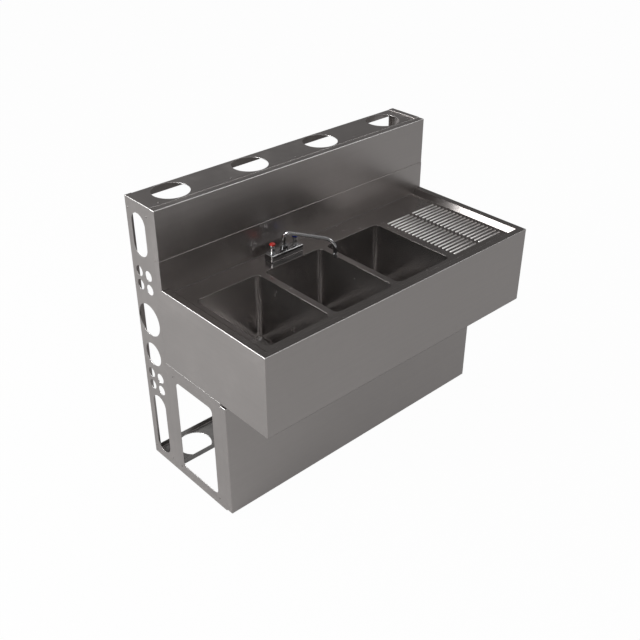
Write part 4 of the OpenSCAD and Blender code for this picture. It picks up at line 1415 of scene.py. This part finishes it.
@dataclass
class Valve(SubAssembly):
    """One valve: its bonnet on the unit, and its stem, grooved handle and coloured cap."""

    hand: str = "hot"
    turn_body: Body = Body.HOT
    side: float = -1.0
    cap_finish: str = "red_cap"
    cap_slot: Slot = Slot.RED
    pitch: float = 101.6
    x: float = 468.9
    d: float = 212.4
    top: float = 765.0
    handle_low: float = 784.0
    handle_high: float = 795.5
    cap_radius: float = 10.75
    cap_wall: float = 4.2
    cap_dome: float = 4.8

    def axis(self, z: float) -> Vector:
        """Point on the valve's axis at a height in millimetres."""
        return PLAN.at(self.x + self.side * self.pitch / 2, self.d, z)

    def bonnet(self) -> Piece:
        """Makes the flared bonnet.

        Returns:
            The bonnet.
        """
        heights = (2.6, 3.6, 4.8, 6.2, 7.8, 9.6, 11.6, 13.8)
        flare = [(7.5 + 3.7 * math.exp(-((z - 2.0) / 3.6) ** 1.3), z) for z in heights]
        outline = [(4.05, -8.0), (10.95, -8.0), (10.95, 0.0), (11.5, 0.0), (11.5, 0.3), (11.5, 1.7), (11.2, 2.0)]
        outline += flare + [(7.5, 15.5), (7.5, 17.4), (7.1, 18.0), (4.05, 18.0), (4.05, -8.0)]
        return lathe(f"bonnet_{self.hand}_turned", outline, self.axis(self.top))

    def handle(self) -> Piece:
        """Makes the grooved handle.

        Returns:
            The handle.
        """
        high = self.handle_high - self.handle_low
        rise = [(8.6 + 1.4 * share, share * high) for share in (0.08, 0.2, 0.35, 0.5, 0.62)]
        outline = [(4.1, 0.0), (8.1, 0.0), (8.5, 0.3)] + rise
        outline += [(10.0, 0.68 * high), (10.0, high - 0.5), (9.6, high), (5.0, high), (5.0, high - 5.0)]
        outline += [(2.2, high - 5.0), (2.2, high - 6.9), (4.1, high - 6.9), (4.1, 0.0)]
        return lathe(f"handle_{self.hand}_grooved", outline, self.axis(self.handle_low), 96, 6, 1.6)

    def cap(self) -> Piece:
        """Makes the domed cap with a soft edge.

        Returns:
            The cap.
        """
        radius, wall, dome = self.cap_radius, self.cap_wall, self.cap_dome
        outline = [(0.0, -2.0), (4.9, -2.0), (4.9, 0.0), (10.2, 0.0), (10.6, 0.25), (radius, 0.7), (radius, wall)]
        turns = [math.pi / 2 * k / 12 for k in range(1, 12)]
        outline += [(radius * math.cos(turn), wall + dome * math.sin(turn) ** 1.15) for turn in turns]
        return lathe(f"cap_{self.hand}_domed", outline + [(0.0, wall + dome)], self.axis(self.handle_high))

    def build(self) -> None:
        """Builds the valve's pieces."""
        self.seat(self.bonnet(), Slot.CHROME, ["chrome"], f"bonnet_{self.hand}")
        self.seat(self.handle(), Slot.CHROME, ["chrome"], f"handle_{self.hand}", body=self.turn_body)
        self.seat(self.cap(), self.cap_slot, [self.cap_finish], f"cap_{self.hand}", body=self.turn_body)
        self.dress("brass", f"stem_{self.hand}")
        self.dress("steel_screw", f"handle_screw_{self.hand}")


@dataclass
class Spout(SubAssembly):
    """The swinging spout: its bent tube, collar, seal, washer and aerator."""

    dressed = (("rubber", "spout_seal"), ("nylon", "spout_washer", "aerator_insert"))
    body: Body = Body.SPOUT
    turn: float = -60.0
    radius: float = 7.0
    reach: float = 184.0
    arm: float = 826.5
    low: float = 758.0
    end: float = 772.0
    outlet: float = 762.0
    post_bend: float = 16.0
    end_bend: float = 38.0

    def spot(self, along: float, z: float) -> Vector:
        """Point of the spout's upright plane, by its distance from the axis and its height."""
        angle = math.radians(self.turn)
        return PLAN.at(Valve.x, Valve.d, z) + Vector((math.cos(angle), math.sin(angle), 0)) * along * MM

    def tube(self) -> Piece:
        """Makes the bent tube with its sleeve and collar.

        Returns:
            The tube.
        """
        corners = [(0.0, self.low), (0.0, self.arm), (self.reach, self.arm), (self.reach, self.end)]
        line = [self.spot(along, z) for along, z in fillet(corners, [0, self.post_bend, self.end_bend, 0], 22)]
        name = "spout_tube_bent"
        seed = bpy.data.meshes.new(name)
        seed.from_pydata([tuple(p) for p in line], [(k, k + 1) for k in range(len(line) - 1)], [])
        tube = tube_tree().grow(name, seed, Radius=self.radius, Material=self.palette["chrome"])
        outline = [(6.9, 0.0), (8.5, 0.0), (8.5, 4.0), (7.5, 4.0), (7.5, 6.0), (8.5, 6.0), (8.5, 14.0)]
        outline += [(10.0, 14.05), (10.0, 17.05), (6.9, 17.05), (6.9, 0.0)]
        sleeve = lathe("spout_sleeve", outline, self.spot(0.0, self.low))
        with editing(tube.data, tube.data, sleeve.data) as work:
            bmesh.ops.recalc_face_normals(work, faces=work.faces)
        bpy.data.objects.remove(sleeve)
        return soften(tube, 38.0)

    def aerator(self) -> Piece:
        """Makes the aerator's shell with two turned grooves.

        Returns:
            The shell.
        """
        outline = [(5.5, 0.0), (8.0, 0.0), (8.5, 0.5), (8.5, 4.2), (8.1, 4.6), (8.1, 5.2), (8.5, 5.6), (8.5, 10.6)]
        outline += [(8.1, 11.0), (8.1, 11.6), (8.5, 12.0), (8.5, 15.4), (7.9, 16.0), (7.05, 16.0), (7.05, 2.0)]
        outline += [(5.5, 2.0), (5.5, 0.0)]
        return lathe("aerator_shell_turned", outline, self.spot(self.reach, self.outlet))

    def build(self) -> None:
        """Builds the spout's pieces."""
        self.seat(self.tube(), Slot.CHROME, ["chrome"], "spout_tube")
        self.seat(self.aerator(), Slot.CHROME, ["chrome"], "aerator_shell")
        super().build()


# Studio


@dataclass
class Studio:
    """Pale floor, soft lights (name, place, side in metres, watts) and the camera at the photograph's place."""

    lights: ClassVar[Sequence[tuple]] = (
        ("left_side", (-4.2, 0.8, 2.6), 2.0, 226.0),
        ("rear_left_panel", (-0.95, 1.15, 3.0), 1.0, 15.5),
        ("rear_edge_panel", (-2.4, 2.66, 3.2), 2.0, 60.0),
        ("right_panel", (2.6, -1.2, 3.7), 1.6, 15.0),
        ("front_edge_panel", (1.15, -1.25, 3.7), 1.0, 7.0),
    )
    eye: Triple = (-1.8952, -1.9714, 2.1862)
    tilt: float = 57.92
    heading: float = -42.51
    lens: float = 50.14
    reach: float = 14.0
    level: float = -0.0004
    aim: Triple = (0.0, 0.0, 0.6)

    def floor(self) -> None:
        """Lays the pale floor."""
        a, z = self.reach, self.level
        mesh = bpy.data.meshes.new("studio_floor")
        mesh.from_pydata([(-a, -a, z), (a, -a, z), (a, a, z), (-a, a, z)], [], [(0, 1, 2, 3)])
        floor = link_mesh("studio_floor", mesh)
        material = bpy.data.materials.new("studio_paper")
        material.use_nodes = True
        kit, nodes = NodeKit(material.node_tree), material.node_tree.nodes
        paper = {"Base Color": (0.40, 0.40, 0.395, 1), "Roughness": 0.9, "Specular IOR Level": 0.1}
        kit.feed(nodes["Principled BSDF"], paper)
        rays = kit.node("ShaderNodeLightPath").outputs
        surface = nodes["Principled BSDF"].outputs[0]
        for ray, level, weight in (("Is Glossy Ray", 0.50, 0.60), ("Is Camera Ray", 1.0, 0.98)):
            glow = kit.node("ShaderNodeEmission", {"Color": (level, level, level, 1)}).outputs[0]
            surface = kit.blend(kit.math("MULTIPLY", rays[ray], weight), surface, glow)
        kit.feed(nodes["Material Output"], {"Surface": surface})
        floor.data.materials.append(material)

    def world(self) -> None:
        """Sets a dim room above the horizon that the camera sees as plain white."""
        world = bpy.data.worlds.new("studio_room")
        bpy.context.scene.world = world
        world.use_nodes = True
        kit, nodes = NodeKit(world.node_tree), world.node_tree.nodes
        generated = kit.node("ShaderNodeTexCoord").outputs["Generated"]
        height = kit.node("ShaderNodeSeparateXYZ", {0: generated}).outputs[2]
        ramp = kit.node("ShaderNodeValToRGB", {0: height})
        stops = ramp.color_ramp.elements
        for stop, level in zip(stops, (0.34, 0.43)):
            stop.color = (level, level, level, 1)
        for position, level in ((0.22, 0.19), (0.5, 0.118), (0.78, 0.172)):
            stops.new(position).color = (level, level * 0.98, level * 0.97, 1)
        kit.feed(nodes["Background"], {"Color": ramp.outputs[0]})
        white = kit.node("ShaderNodeBackground", {"Color": (1.0, 1.0, 1.0, 1)}).outputs[0]
        seen = kit.node("ShaderNodeLightPath").outputs["Is Camera Ray"]
        kit.feed(nodes["World Output"], {"Surface": kit.blend(seen, nodes["Background"].outputs[0], white)})

    def hang_lights(self) -> None:
        """Hangs the square soft lights, all facing the unit."""
        for name, place, size, power in self.lights:
            lamp = bpy.data.lights.new(name, "AREA")
            lamp.shape = "RECTANGLE"
            lamp.size = lamp.size_y = size
            lamp.energy = power
            holder = bpy.data.objects.new(name, lamp)
            holder.location = place
            holder.rotation_euler = (Vector(self.aim) - Vector(place)).to_track_quat("-Z", "Y").to_euler()
            bpy.context.scene.collection.objects.link(holder)

    def camera(self) -> None:
        """Puts the camera at the photograph's place."""
        lens = bpy.data.cameras.new("photograph")
        lens.lens = self.lens
        lens.sensor_width = 36.0
        lens.sensor_fit = "HORIZONTAL"
        lens.clip_end = 100.0
        camera = bpy.data.objects.new("photograph", lens)
        camera.location = self.eye
        camera.rotation_euler = (math.radians(self.tilt), 0.0, math.radians(self.heading))
        bpy.context.scene.collection.objects.link(camera)
        bpy.context.scene.camera = camera

    def build(self) -> None:
        """Builds the whole studio."""
        bpy.context.scene.view_settings.view_transform = "Standard"
        self.floor()
        self.world()
        self.hang_lights()
        self.camera()
        LOG.info("studio built")


def main() -> None:
    """Builds every sub-assembly in order."""
    logging.basicConfig(level=logging.INFO, format="%(name)s: %(message)s")
    palette = Palette()
    cold = {"hand": "cold", "turn_body": Body.COLD, "side": 1.0, "cap_finish": "blue_cap", "cap_slot": Slot.BLUE}
    parts = [kind(palette) for kind in (ServiceChase, Apron, Base, SinkTop, Bowls, Fasteners, Drains, FaucetBody)]
    for part in (*parts, Valve(palette), Valve(palette, **cold), Spout(palette)):
        part.build()
        LOG.info("%s built", type(part).__name__)
    Studio().build()


if __name__ == "__main__":
    main()
